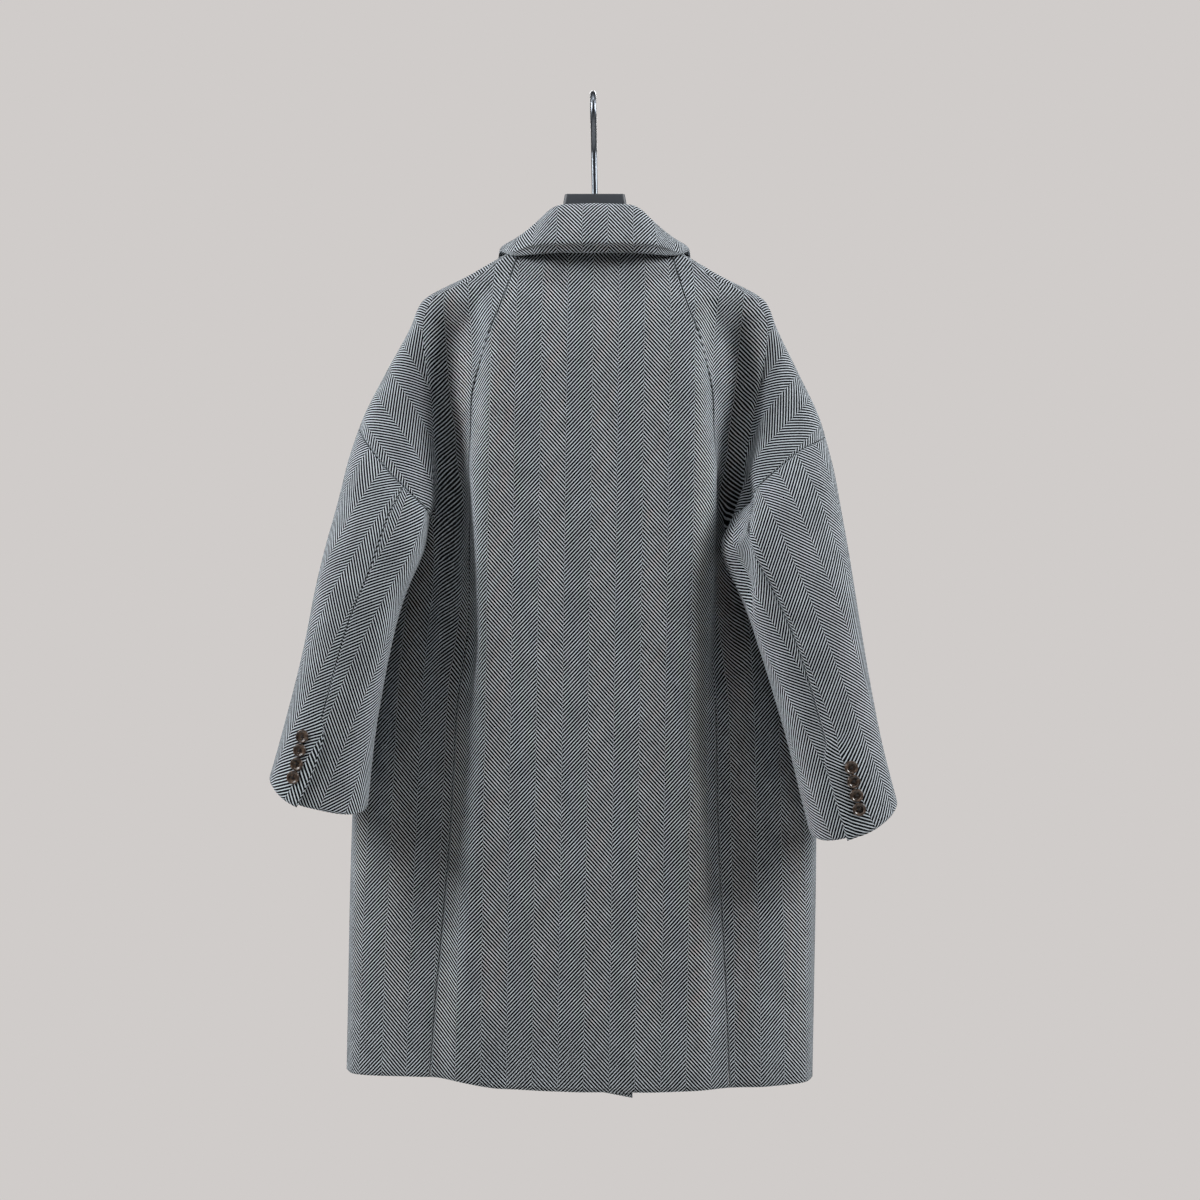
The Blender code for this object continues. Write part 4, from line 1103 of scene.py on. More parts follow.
HOLLOWS = (
    (((-140, 205), (-144, 250), (-147, 310), (-150, 360), (-153, 420)), 26, -12.0),
    (((-152, 330), (-153, 424), (-149, 510), (-146, 597), (-150, 690)), 17, -14.0),
    (((146, 205), (146, 250), (147, 310), (150, 360), (153, 420)), 25, -12.0),
    (((150, 340), (154, 445), (153, 532), (147, 618), (150, 700)), 16, -14.0),
)
print("creases:", len(CREASES), " hollows:", len(HOLLOWS))

# %% Press the creases in
# A crease is rounded and a hollow has a flat bed; both fade over part of their length
CREASE_POWER = 2
HOLLOW_POWER = 4
CREASE_FADE = 0.3
FACES_BACK = 0.45


def crease_weight(x, drop, line, width, power):
    """Full along the crease's line, fading beside it and towards its ends; a high power has a flat bed."""
    line = np.array(line, float)
    best = np.full(x.shape, np.inf)
    way = np.zeros(x.shape)
    done = 0.0
    for start, end in zip(line, line[1:]):
        size = np.linalg.norm(end - start)
        run = (end - start) / size
        t = np.clip((x - start[0]) * run[0] + (drop - start[1]) * run[1], 0, size)
        gap = np.hypot(x - start[0] - t * run[0], drop - start[1] - t * run[1])
        way = np.where(gap < best, done + t, way)
        best = np.minimum(gap, best)
        done += size
    share = way / done
    fade = ramp(share, 0, CREASE_FADE) * (1 - ramp(share, 1 - CREASE_FADE, 1))
    return np.exp(-(best / width) ** power) * fade


deepest = 0.0
for patch in ALL_PATCHES:
    x, drop = patch.points[..., 0], -patch.points[..., 2]
    facing = ramp(-patch.normals[..., 1], 0.0, FACES_BACK)
    press = sum(up * crease_weight(x, drop, line, width, CREASE_POWER) for line, width, up in CREASES)
    press += sum(up * crease_weight(x, drop, line, width, HOLLOW_POWER) for line, width, up in HOLLOWS)
    patch.points = patch.points + patch.normals * (press * facing)[..., None]
    deepest = max(deepest, np.abs(press * facing).max())
share_normals()
print("largest move in mm:", round(float(deepest), 2))

# %% [markdown]
# ## From a skin to cloth
# Coating is about two millimetres thick, and its edges are turned and pressed, so they look rounded.
# Each panel gets an outer face, an inner face and a rim between them whose middle stands out a little.
# Where two such rims meet, the seam shows as a fine groove, which is what a pressed seam looks like.

# %% Lay a panel's maps
# Width of a rim's strip and the free margin around a panel laid flat, in mm
STRIP = 1.6
MARGIN = 4.0


def put_maps(mesh, quads, edge_corners, owners, weave, flat):
    """The weave in millimetres, and a flat layout: outer face left, inner face right, rims beside them."""
    low = flat.min(axis=0)
    size = np.ptp(flat, axis=0) + 2 * MARGIN
    scale = 1 / max(2 * size[0], size[1])
    ends = flat[edge_corners]
    run = ends[:, 1] - ends[:, 0]
    out = np.stack([run[:, 1], -run[:, 0]], axis=1)
    out /= np.maximum(np.linalg.norm(out, axis=1, keepdims=True), 1e-9)
    away = ends.mean(axis=1) - flat[quads[owners]].mean(axis=1)
    out *= np.where(np.sum(out * away, axis=1) < 0, -1, 1)[:, None]
    a, b = ends[:, 0], ends[:, 1]
    strip = out * STRIP
    near = np.stack([b, a, a + strip, b + strip], axis=1)
    far = np.stack([b + strip, a + strip, a, b], axis=1)
    left = np.vstack([flat[quads], near])
    right = np.vstack([flat[quads[:, ::-1]], far])
    count = len(quads)
    charts = [(part - low + MARGIN) * scale for part in (left, right)]
    charts[1] += (0.5, 0)
    flat_loops = np.concatenate([charts[0][:count], charts[1][:count], charts[0][count:], charts[1][count:]])
    a, b = weave[edge_corners[:, 0]], weave[edge_corners[:, 1]]
    near = np.stack([b, a, a + strip, b + strip], axis=1)
    far = np.stack([b + strip, a + strip, a + 2 * strip, b + 2 * strip], axis=1)
    weave_loops = np.concatenate([weave[quads], weave[quads[:, ::-1]], near, far])
    for name, loops in (("weave", weave_loops), ("OFBake", flat_loops)):
        mesh.uv_layers.new(name=name).data.foreach_set("uv", loops.astype(np.float32).ravel())


print("margin around a flat panel in mm:", MARGIN)

# %% Faces and rims of a panel
# Least length of a corner's pull, so that sharp corners aren't drawn in too far
SHARPEST = 0.7


def rim_pull(points, quads, edges, owners):
    """Directions in from the rim, of length one on a straight edge."""
    start, end = points[edges[:, 0]], points[edges[:, 1]]
    run = end - start
    inward = points[quads[owners]].mean(axis=1) - (start + end) / 2
    inward -= run * (np.sum(inward * run, axis=1) / np.sum(run * run, axis=1))[:, None]
    inward /= np.linalg.norm(inward, axis=1, keepdims=True)
    pull = np.zeros_like(points)
    np.add.at(pull, edges[:, 0], inward)
    np.add.at(pull, edges[:, 1], inward)
    length = np.linalg.norm(pull, axis=1, keepdims=True)
    return np.where(length > 1e-6, pull / np.maximum(length, SHARPEST), 0.0)


def grid_quads(patches):
    """Faces of the patches' grids, each patch's points after those of the one before."""
    quads, start = [], 0
    for patch in patches:
        rows, columns = patch.points.shape[:2]
        k = start + (np.arange(rows - 1)[:, None] * columns + np.arange(columns - 1)).ravel()
        quad = np.stack([k, k + columns, k + columns + 1, k + 1], axis=1)
        quads.append(quad[:, ::-1] if patch.flip else quad)
        start += rows * columns
    return np.vstack(quads)


print("faces of a cap:", len(grid_quads([backs[LEFT][2]])))

# %% Thicken a panel
# Thickness of the cloth, and how far its faces and the middle of its rim stay in from the edge, in mm
WOOL_THICK = 2.2
EDGE_ROUND = 1.0
RIM_IN = 0.08


def link(name, data):
    """Put a new object into the scene."""
    made = bpy.data.objects.new(name, data)
    bpy.context.scene.collection.objects.link(made)
    return made


CUTS = {}


def cloth(name, patches, thick):
    """A closed shell of cloth with its weave map and its flat map."""
    points, normals, weave, flat = (stacked(patches, key) for key in ("points", "normals", "weave", "flat"))
    quads = grid_quads(patches)
    first, weld = np.unique(np.round(points, WELD), axis=0, return_index=True, return_inverse=True)[1:]
    weld = weld.ravel()
    skin, skin_normals, faces = points[first], normals[first], weld[quads]
    loose = np.stack([quads, np.roll(quads, -1, axis=1)], axis=-1).reshape(-1, 2)
    joined = weld[loose]
    owners = np.repeat(np.arange(len(quads)), 4)
    pairs, counts = np.unique(np.sort(joined, axis=1), axis=0, return_inverse=True, return_counts=True)[1:]
    on_rim = counts[pairs.ravel()] == 1
    edges, edge_corners, owners = joined[on_rim], loose[on_rim], owners[on_rim]
    pull = rim_pull(skin, faces, edges, owners)
    outer = skin + pull * EDGE_ROUND
    inner = outer - skin_normals * thick
    rim_ids, rim = np.unique(edges, return_inverse=True)
    rim = rim.reshape(-1, 2)
    middle = skin[rim_ids] + pull[rim_ids] * RIM_IN - skin_normals[rim_ids] * thick / 2
    count = len(skin)
    a, b, mid_a, mid_b = edges[:, 0], edges[:, 1], rim[:, 0] + 2 * count, rim[:, 1] + 2 * count
    upper_rim = np.stack([b, a, mid_a, mid_b], axis=1)
    lower_rim = np.stack([mid_b, mid_a, a + count, b + count], axis=1)
    everything = np.vstack([faces, faces[:, ::-1] + count, upper_rim, lower_rim])
    mesh = bpy.data.meshes.new(name)
    mesh.from_pydata((np.vstack([outer, inner, middle]) * MM).tolist(), [], everything.tolist())
    put_maps(mesh, quads, edge_corners, owners, weave, flat)
    mesh.shade_smooth()
    sides = points[quads]
    area = np.linalg.norm(np.cross(sides[:, 2] - sides[:, 0], sides[:, 3] - sides[:, 1]), axis=1).sum() / 2
    size = np.ptp(flat, axis=0)
    CUTS[name] = (size[0] * MM, size[1] * MM, area * MM * MM)
    print(name, "faces:", len(everything), " cut in mm:", np.round(size, 0),
          " area in m2:", round(area * MM * MM, 4))
    return link(name, mesh)


CLOTH_PIECES = {}
for node_name, patches in PANELS.items():
    CLOTH_PIECES[node_name] = cloth(node_name + "_cloth", patches, WOOL_THICK)

# %% [markdown]
# ## Collar
# The collar is one band: it stands up inside the neck, rolls over and falls outside, and its free edge
# curls under, which gives the dark line along the bottom. It is drawn as a section at each step around
# the neck, and the weave runs along it, so the herringbone stays upright at the back.

# %% Table of the collar
# Collar, half of it, against the way along the neck from the centre back
COLLAR = table(
    "way roll_x roll_y roll_drop edge_x edge_y edge_drop",
    (0.00, 0, -44, 124, 0, -60, 181),
    (0.25, 36, -42, 125, 54, -57, 181),
    (0.45, 54, -28, 133, 90, -38, 178),
    (0.58, 61, -2, 144, 105, 0, 172),
    (0.72, 63, 22, 156, 110, 34, 190),
    (0.87, 58, 40, 176, 104, 49, 220),
    (1.00, 51, 47, 194, 94, 51, 242),
)
COLLAR_BEND = 5.0
COLLAR_BELLY = 3.0
COLLAR_CLEAR = 0.8
print("collar stands above the neck by mm:", NECK_BACK_DROP - COLLAR["roll_drop"][0])

# %% Follow the neck's edge
NECK_POINTS = 12
GORGE_POINTS = 8


def neckline(side):
    """The inner neck edge from the centre back over the shoulder to the gorge."""
    back, front = DRAPES[side, "back"], DRAPES[side, "front"]
    share = np.linspace(0, 1, NECK_POINTS)
    points = [back.at("centre", share, NECK_BACK_DROP + (NECK_SIDE_DROP - NECK_BACK_DROP) * share ** 2)[0]]
    top = np.full(2, NECK_SIDE_DROP)
    points.append(back.at("flank", np.array([0.5, 1.0]), top)[0])
    points.append(back.at("cap", np.array([0.5, 1.0]), top)[0])
    points.append(front.at("cap", np.array([0.5, 0.0]), top)[0])
    gorge = np.linspace(NECK_SIDE_DROP, GORGE_DROP, GORGE_POINTS)
    points.append(front.at("body", 0 * gorge, gorge)[0])
    points = np.vstack(points)
    way = np.concatenate([[0], np.cumsum(np.linalg.norm(np.diff(points, axis=0), axis=1))])
    return points, way / way[-1]


NECKLINES = {side: neckline(side) for side in SIDE_NAMES}
print("points of each half of the neck:", len(NECKLINES[LEFT][0]))

# %% Draw the collar's sections
SECTION_STEPS = 45
SEAM_GAP = 0.34
SOLID_THICK = 2.4

# Points of the free edge, out past it and above it in mm: where it curls under fully, and where it is flat
CURL = {
    "shoulder": ((1.2, 9.0), (0.0, 2.0)),
    "under": ((-2.4, 6.8), (0.0, 0.8)),
    "turn": ((-8.0, 0.0), (0.0, 0.0)),
    "tuck": ((-12.0, 0.0), (0.0, -0.8)),
}

# The edge is lifted all along, drawn to the front and down on the shoulder, and drawn in past it
EDGE_UP = 2.5
EASE_REACH = 0.11
ON_SHOULDER = {"way": 0.43, "forward": 8.0, "down": 3.0}
PAST_SHOULDER = {"way": 0.68, "inward": 2.0, "up": 1.0}


def collar_section(side, way):
    """Visible line of the collar: up its stand, over the roll, down its fall and under."""
    points, ways = NECKLINES[side]
    seat = np.array([np.interp(way, ways, points[:, k]) for k in range(3)])
    roll = place(side, *[look(COLLAR, "roll_" + k, way, key="way") for k in ("x", "y", "drop")])
    edge = place(side, *[look(COLLAR, "edge_" + k, way, key="way") for k in ("x", "y", "drop")])
    on, past = (math.exp(-((way - at["way"]) / EASE_REACH) ** 2) for at in (ON_SHOULDER, PAST_SHOULDER))
    up = EDGE_UP - ON_SHOULDER["down"] * on + PAST_SHOULDER["up"] * past
    edge = edge + (-PAST_SHOULDER["inward"] * side * past, ON_SHOULDER["forward"] * on, up)
    outward = (edge - roll) * (1, 1, 0)
    outward /= np.linalg.norm(outward)
    rise = roll - seat
    height = np.linalg.norm(rise)
    clear = COLLAR_CLEAR * ramp(way, 0.45, 0.65)
    foot = seat - outward * (SOLID_THICK + clear) + rise / height * (SEAM_GAP + clear)
    bend = min(COLLAR_BEND, 0.45 * height)
    down = np.array([0, 0, -bend * 0.8])
    inside = roll - outward * bend + down
    outside = roll + outward * bend + down
    belly = (outside + edge) / 2 + (outward + (0, 0, 0.6)) * COLLAR_BELLY
    curl = 1 - ramp(way, 0.3, 0.52)
    stops = [foot, (foot + inside) / 2, inside, roll, outside, belly]
    for full, flat in CURL.values():
        out, above = np.array(flat) + (np.array(full) - flat) * curl
        stops.append(edge + outward * out + (0, 0, above))
    stops = np.array(stops)
    run = np.concatenate([[0], np.cumsum(np.linalg.norm(np.diff(stops, axis=0), axis=1))])
    at = np.interp(np.linspace(0, len(stops) - 1, SECTION_STEPS), np.arange(len(stops)), run)
    return np.column_stack([smooth(run, stops[:, k], at) for k in range(3)])


print("points of a section:", len(collar_section(LEFT, 0.0)))

# %% Cut the collar
COLLAR_THICK = 3.2
COLLAR_STEPS = 33
# Where the middle of a herringbone column lies past the centre back, in mm
COLLAR_APEX = 13.7


def way_along(points, axis):
    """Distance along the lines of a grid, from its first point."""
    step = np.linalg.norm(np.diff(points, axis=axis), axis=-1)
    start = np.zeros_like(np.take(step, [0], axis=axis))
    return np.concatenate([start, np.cumsum(step, axis=axis)], axis=axis)


def own_normals(patch):
    """Normals of a piece that is sewn to no other."""
    normals = grid_normals(patch.points, patch.flip)
    patch.normals = normals / np.linalg.norm(normals, axis=-1, keepdims=True)
    return patch


ways = np.linspace(0, 1, COLLAR_STEPS)
sections = [collar_section(LEFT, way) for way in ways[::-1]]
sections += [collar_section(RIGHT, way) for way in ways[1:]]
collar_grid = np.array(sections).transpose(1, 0, 2)
across = way_along(collar_grid, 1)
across -= across[:, [COLLAR_STEPS - 1]]
along = way_along(collar_grid, 0)[:, [COLLAR_STEPS - 1]] + 0 * across
collar_flat = np.stack([across, along], axis=-1)
collar_patch = Patch(collar_grid, collar_flat - (COLLAR_APEX, 0), collar_flat, False)
CLOTH_PIECES["collar"] = cloth("collar_cloth", [own_normals(collar_patch)], COLLAR_THICK)
print("collar around the neck in mm:", round(float(np.ptp(across[0])), 1))

# %% [markdown]
# ## Lapels
# The fronts of a double-breasted coat fold back above the break, and the folded part is the lapel. It
# lies on the front's own surface, a cloth's thickness above it, and widens to a notch at the top. This
# side of the coat is a guess from how such coats are cut, so the lapel is kept plain.

# %% Lay the lapels on the fronts
# Lapel: its top at the roll line, its notch corner, its belly and its lower end
LAPEL_TOP_DROP = 206.0
LAPEL_TIP = {"x": 112.0, "drop": 292.0}
LAPEL_BELLY = 7.0
LAPEL_END_DROP = {LEFT: 376.0, RIGHT: 462.0}
LAPEL_END_WIDTH = 6.0
LAPEL_FROM_ROLL = 3.0
LAPEL_ROWS = 13
LAPEL_COLUMNS = 6
LAYER_GAP = 0.5
LAPEL_LIFT = LAYER_GAP + SOLID_THICK
LAPEL_WEAVE_START = 9.0
SLOPE_STEP = 2.0


def front_spot(side, x, drop):
    """Points of the front's outer face."""
    row = (drop - NECK_SIDE_DROP) / DROP_STEP
    height = between(DRAPES[side, "front"].height, row, np.abs(x) / REACH_STEP)[..., 0]
    return place(side, x, height + front_lift(side, x), drop)


def front_surface(side, x, drop):
    """Points of the front's outer face with their normals."""
    down = front_spot(side, x, drop + SLOPE_STEP) - front_spot(side, x, drop - SLOPE_STEP)
    over = front_spot(side, x + SLOPE_STEP, drop) - front_spot(side, x - SLOPE_STEP, drop)
    normal = np.cross(down, over) * -side
    return front_spot(side, x, drop), normal / np.linalg.norm(normal, axis=-1, keepdims=True)


def lapel(side):
    """From the roll line out to the notch and down to the break."""
    low = LAPEL_END_DROP[side]
    end_x = side * front_edge(low) + LAPEL_FROM_ROLL + LAPEL_END_WIDTH
    way = finer(np.linspace(0, 1, LAPEL_ROWS), lines(LAPEL_ROWS, 0, LAPEL_ROWS - 1))[:, None]
    share = finer(np.linspace(0, 1, LAPEL_COLUMNS), lines(LAPEL_COLUMNS, 0, LAPEL_COLUMNS - 1))
    drop_in = LAPEL_TOP_DROP + (low - LAPEL_TOP_DROP) * way
    x_in = front_edge(drop_in) + LAPEL_FROM_ROLL
    if side == LEFT:
        x_in = np.maximum(x_in, -front_edge(drop_in) + LAPEL_FROM_ROLL + 1.0)
    drop_out = LAPEL_TIP["drop"] + (low + 1 - LAPEL_TIP["drop"]) * way
    x_out = LAPEL_TIP["x"] + (end_x - LAPEL_TIP["x"]) * way + LAPEL_BELLY * np.sin(math.pi * way)
    x = x_in + (x_out - x_in) * share
    drop = drop_in + (drop_out - drop_in) * share
    points, normals = front_surface(side, x, drop)
    flat = np.stack([side * x, drop], axis=-1)
    patch = Patch(points + normals * LAPEL_LIFT, flat + (LAPEL_WEAVE_START, 0.0), flat, side == RIGHT)
    return cloth("lapel_" + SIDE_NAMES[side] + "_cloth", [own_normals(patch)], WOOL_THICK)


for side, label in SIDE_NAMES.items():
    CLOTH_PIECES["lapel_" + label] = lapel(side)
print("pieces of cloth:", len(CLOTH_PIECES))

# %% [markdown]
# ## Horn buttons
# A coat button is turned on a lathe: a flat back, a thick rounded rim and a dished middle with four
# holes, through which thread crosses. The profile is spun, and the points that fall inside a hole are
# pushed down, which makes neat holes without cutting the mesh.

# %% Turn a button
BUTTON_TURNS = 64
CUFF_BUTTON = {"radius": 7.2, "thick": 3.0}
FRONT_BUTTON = {"radius": 14.0, "thick": 4.4}

# Shares of the radius and the thickness, from the back's middle over the rim
PROFILE_RADIUS = np.array([0, 0.5, 0.8, 0.93, 0.99, 1, 0.985, 0.95, 0.89, 0.82, 0.74, 0.67, 0.6])
PROFILE_HEIGHT = np.array([0, 0, 0, 0.08, 0.24, 0.45, 0.7, 0.88, 0.98, 1, 0.93, 0.76, 0.62])
DISH = np.linspace(0.57, 0.0, 24)
HOLE_REACH = 0.235
HOLE_RADIUS = 0.085
HOLE_RIM = HOLE_RADIUS * 1.15
HOLE_FLOOR = HOLE_RADIUS * 0.7
HOLE_DEPTH = 0.34
DISH_FLOOR = 0.52
DISH_CURVE = 0.3


def button_mesh(size):
    """Points and faces of a button lying on its back at the origin, in millimetres."""
    radius = np.concatenate([PROFILE_RADIUS, DISH])
    height = np.concatenate([PROFILE_HEIGHT, DISH_FLOOR + DISH_CURVE * DISH ** 2])
    turn = np.linspace(0, math.tau, BUTTON_TURNS, endpoint=False)
    x = radius[1:-1, None] * np.cos(turn)
    y = radius[1:-1, None] * np.sin(turn)
    z = np.repeat(height[1:-1, None], BUTTON_TURNS, axis=1)
    hole = np.hypot(np.abs(x) - HOLE_REACH, np.abs(y) - HOLE_REACH)
    dished = np.arange(1, len(radius) - 1)[:, None] >= len(PROFILE_RADIUS)
    sunk = HOLE_DEPTH * (1 - ramp(hole, HOLE_FLOOR, HOLE_RIM))
    z = np.where(dished & (hole < HOLE_RIM), z - sunk, z)
    points = np.stack([x * size["radius"], y * size["radius"], z * size["thick"]], axis=-1).reshape(-1, 3)
    rings = len(radius) - 2
    k = np.arange(rings - 1)[:, None] * BUTTON_TURNS + np.arange(BUTTON_TURNS)
    after = np.arange(rings - 1)[:, None] * BUTTON_TURNS + (np.arange(BUTTON_TURNS) + 1) % BUTTON_TURNS
    faces = np.stack([k, after, after + BUTTON_TURNS, k + BUTTON_TURNS], axis=-1).reshape(-1, 4).tolist()
    points = np.vstack([points, [(0, 0, 0)], [(0, 0, height[-1] * size["thick"])]])
    bottom, top, last = len(points) - 2, len(points) - 1, (rings - 1) * BUTTON_TURNS
    for n in range(BUTTON_TURNS):
        after = (n + 1) % BUTTON_TURNS
        faces += [(bottom, after, n), (top, last + n, last + after)]
    return points, faces


print("points of a button:", len(button_mesh(CUFF_BUTTON)[0]))

# %% Cross the threads
# A strand's radius on a cuff button, how far it rises over the dish and dips into a hole, in mm
STRAND = 0.5
STRAND_RISE = 0.35
STRAND_DIP = 0.6
STRAND_STATIONS = 13
STRAND_SIDES = 8
STRAND_FLAT = np.array([0, 0, 0.8])
DIAGONAL = 1.414
STITCHES = ((45, 0.25), (135, 0.55))


def thread_mesh(size):
    """Two short stitches that cross the four holes, each a bent strand."""
    reach = HOLE_REACH * size["radius"]
    strand = STRAND * size["radius"] / CUFF_BUTTON["radius"]
    base = 0.5 * size["thick"]
    points, faces = [], []
    for angle, lift in STITCHES:
        start = len(points)
        run = np.array([math.cos(math.radians(angle)), math.sin(math.radians(angle)), 0.0])
        over = np.array([-run[1], run[0], 0.0])
        for s in np.linspace(-1, 1, STRAND_STATIONS):
            height = base + (lift + STRAND_RISE) * (1 - s ** 4) - STRAND_DIP * s ** 8
            middle = run * reach * DIAGONAL * s + (0, 0, height)
            for turn in np.linspace(0, math.tau, STRAND_SIDES, endpoint=False):
                points.append(middle + strand * (over * math.cos(turn) + STRAND_FLAT * math.sin(turn)))
        for i in range(STRAND_STATIONS - 1):
            for j in range(STRAND_SIDES):
                a = start + i * STRAND_SIDES + j
                b = start + i * STRAND_SIDES + (j + 1) % STRAND_SIDES
                faces.append((a, b, b + STRAND_SIDES, a + STRAND_SIDES))
        first = range(start, start + STRAND_SIDES)
        faces += [tuple(first)[::-1], tuple(k + (STRAND_STATIONS - 1) * STRAND_SIDES for k in first)]
    return np.array(points), faces


print("points of two stitches:", len(thread_mesh(CUFF_BUTTON)[0]))

# %% Seat the buttons
CUFF_BUTTON_COUNT = 4
CUFF_BUTTON_PITCH = 14.9
CUFF_BUTTON_FROM_EDGE = 29.0
CUFF_BUTTON_FROM_SEAM = (9.5, 13.5)
SLEEVE_LENGTH = 330.0
FRONT_BUTTON_X = 38.0
FRONT_BUTTON_DROPS = (492.0, 612.0, 732.0)
CUFF_FLATNESS = 1.15
FIRST_SPIN = 0.3
SPIN_STEP = 1.1


def seated(points, point, normal, spin):
    """Turn points so that +Z is the cloth's normal, and lay them just off the cloth."""
    turn = Vector(normal).to_track_quat("Z", "Y").to_matrix() @ Matrix.Rotation(spin, 3, "Z")
    return points @ np.array(turn).T + point + np.array(normal) * SEAM_GAP


def object_from(name, points, faces):
    """A smooth mesh from points in millimetres."""
    mesh = bpy.data.meshes.new(name)
    mesh.from_pydata((np.asarray(points) * MM).tolist(), [], faces)
    mesh.shade_smooth()
    return link(name, mesh)


def arm_surface(side, angle, drop):
    """A point of the sleeve's outer face with its normal."""
    def spot(angle, drop):
        return place(side, *arm_point(side, angle, drop), drop)
    around = spot(angle + 1, drop) - spot(angle - 1, drop)
    normal = np.cross(around, spot(angle, drop + 1) - spot(angle, drop - 1))
    return spot(angle, drop), normal * side / np.linalg.norm(normal)


BUTTON_SEATS = {}
for side, label in SIDE_NAMES.items():
    for number in range(CUFF_BUTTON_COUNT):
        rise = CUFF_BUTTON_FROM_EDGE + CUFF_BUTTON_PITCH * (CUFF_BUTTON_COUNT - 1 - number)
        seam = look(SLEEVE_SEAM[side], "angle", 1 - rise / SLEEVE_LENGTH, key="way")
        drop = cuff_drop(side, seam) - rise
        share = 1 - number / (CUFF_BUTTON_COUNT - 1)
        low, high = CUFF_BUTTON_FROM_SEAM
        aside = low + (high - low) * share
        angle = seam - math.degrees(aside / (look(ARMS[side], "half", drop) * CUFF_FLATNESS))
        BUTTON_SEATS[f"cuff_button_{label}_{number + 1}"] = (CUFF_BUTTON, *arm_surface(side, angle, drop))
for column, x in (("edge", -FRONT_BUTTON_X), ("inner", FRONT_BUTTON_X)):
    for number, drop in enumerate(FRONT_BUTTON_DROPS):
        point, normal = front_surface(RIGHT, np.array(x), np.array(drop))
        BUTTON_SEATS[f"front_button_{column}_{number + 1}"] = (FRONT_BUTTON, point, normal)

BUTTONS, THREADS = {}, {}
for number, (node_name, (size, point, normal)) in enumerate(BUTTON_SEATS.items()):
    spin = FIRST_SPIN + SPIN_STEP * number
    for kind, make, store in (("horn", button_mesh, BUTTONS), ("thread", thread_mesh, THREADS)):
        points, faces = make(size)
        store[node_name] = object_from(f"{node_name}_{kind}", seated(points, point, normal, spin), faces)
print("buttons:", len(BUTTONS), " faces each:", len(BUTTONS["cuff_button_left_1"].data.polygons))

# %% [markdown]
# ## Hanger
# Only the neck block and the hook can be seen, but the arms hold the shoulders up, so they are made
# too. Arms are lofted from rounded sections, the block is a bevelled bar, and the hook is one bent
# wire. Each is finer than its solid and keeps the same size.

# %% Loft the arms
HANGER_END = 183.0
HANGER_ROUND_FROM = 170.0
SHOULDER_SLOPE = 0.589
SHOULDER_START = 78.0
HANGER_CLEAR = 3.25
HANGER_HUMP_DROP = 130.0
HANGER_HUMP_CURVE = 0.0105
HANGER_HALF_DEPTH = {"middle": 9.0, "end": 16.0}
HANGER_HALF_HEIGHT = 12.0
HANGER_HUMP_BLEND = 28.0
HANGER_DEEPENS = (20.0, 150.0)
HANGER_END_SHRINK = 0.8
HANGER_SIDES = 32
HANGER_STATIONS = 96

reach = np.linspace(-HANGER_END, HANGER_END, HANGER_STATIONS + 1)
far = np.abs(reach)
ridge = NECK_SIDE_DROP + SHOULDER_SLOPE * (far - SHOULDER_START) + HANGER_CLEAR
hump = HANGER_HUMP_DROP + HANGER_HUMP_CURVE * far ** 2
top = hump + (ridge - hump) * ramp(far, SHOULDER_START - HANGER_HUMP_BLEND, SHOULDER_START)
deeper = HANGER_HALF_DEPTH["end"] - HANGER_HALF_DEPTH["middle"]
past = np.clip((far - HANGER_ROUND_FROM) / (HANGER_END - HANGER_ROUND_FROM), 0, 1)
shrink = np.sqrt(1 - HANGER_END_SHRINK * past ** 2)
half_depth = (HANGER_HALF_DEPTH["middle"] + deeper * ramp(far, *HANGER_DEEPENS)) * shrink
half_height = HANGER_HALF_HEIGHT * shrink
around = np.linspace(0, math.tau, HANGER_SIDES, endpoint=False)
ring_x = (reach + centre_line(top))[:, None] + 0 * around
ring_y = half_depth[:, None] * np.cos(around)
ring_z = -top[:, None] - half_height[:, None] * (1 - np.sin(around))
arm_points = np.stack([ring_x, ring_y, ring_z], axis=-1).reshape(-1, 3)
arm_faces = []
for r in range(HANGER_STATIONS):
    for k in range(HANGER_SIDES):
        a, b = r * HANGER_SIDES + k, r * HANGER_SIDES + (k + 1) % HANGER_SIDES
        arm_faces.append((a, b, b + HANGER_SIDES, a + HANGER_SIDES))
arm_faces.append(tuple(range(HANGER_SIDES))[::-1])
arm_faces.append(tuple(HANGER_STATIONS * HANGER_SIDES + k for k in range(HANGER_SIDES)))
arms = object_from("hanger_arms_plastic", arm_points, arm_faces)
print("hanger arms span in mm:", round(float(np.ptp(arm_points[:, 0])), 1))

# %% Bevel the block
BLOCK_TOP_DROP = 108.0
BLOCK_BOTTOM_DROP = 129.7
BLOCK_TOP_HALF = 33.0
BLOCK_BOTTOM_HALF = 37.0
BLOCK_HALF_DEPTH = 9.0
BLOCK_CORNER = 4.0
BLOCK_EDGE = 0.9

work = bmesh.new()
bmesh.ops.create_cube(work, size=2.0)
for vert in work.verts:
    low = vert.co.z < 0
    half = BLOCK_BOTTOM_HALF if low else BLOCK_TOP_HALF
    drop = BLOCK_BOTTOM_DROP if low else BLOCK_TOP_DROP
    vert.co = Vector((vert.co.x * half + LEAN_TOP, vert.co.y * BLOCK_HALF_DEPTH, -drop)) * MM
upright = [edge for edge in work.edges if abs(edge.verts[0].co.z - edge.verts[1].co.z) > 0.01]
bmesh.ops.bevel(work, geom=upright, offset=BLOCK_CORNER * MM, segments=8, affect="EDGES", profile=0.5)
rims = [edge for edge in work.edges if edge.calc_face_angle(0) > 1.0]
bmesh.ops.bevel(work, geom=rims, offset=BLOCK_EDGE * MM, segments=4, affect="EDGES", profile=0.5)
block_mesh = bpy.data.meshes.new("hanger_block_plastic")
work.to_mesh(block_mesh)
work.free()
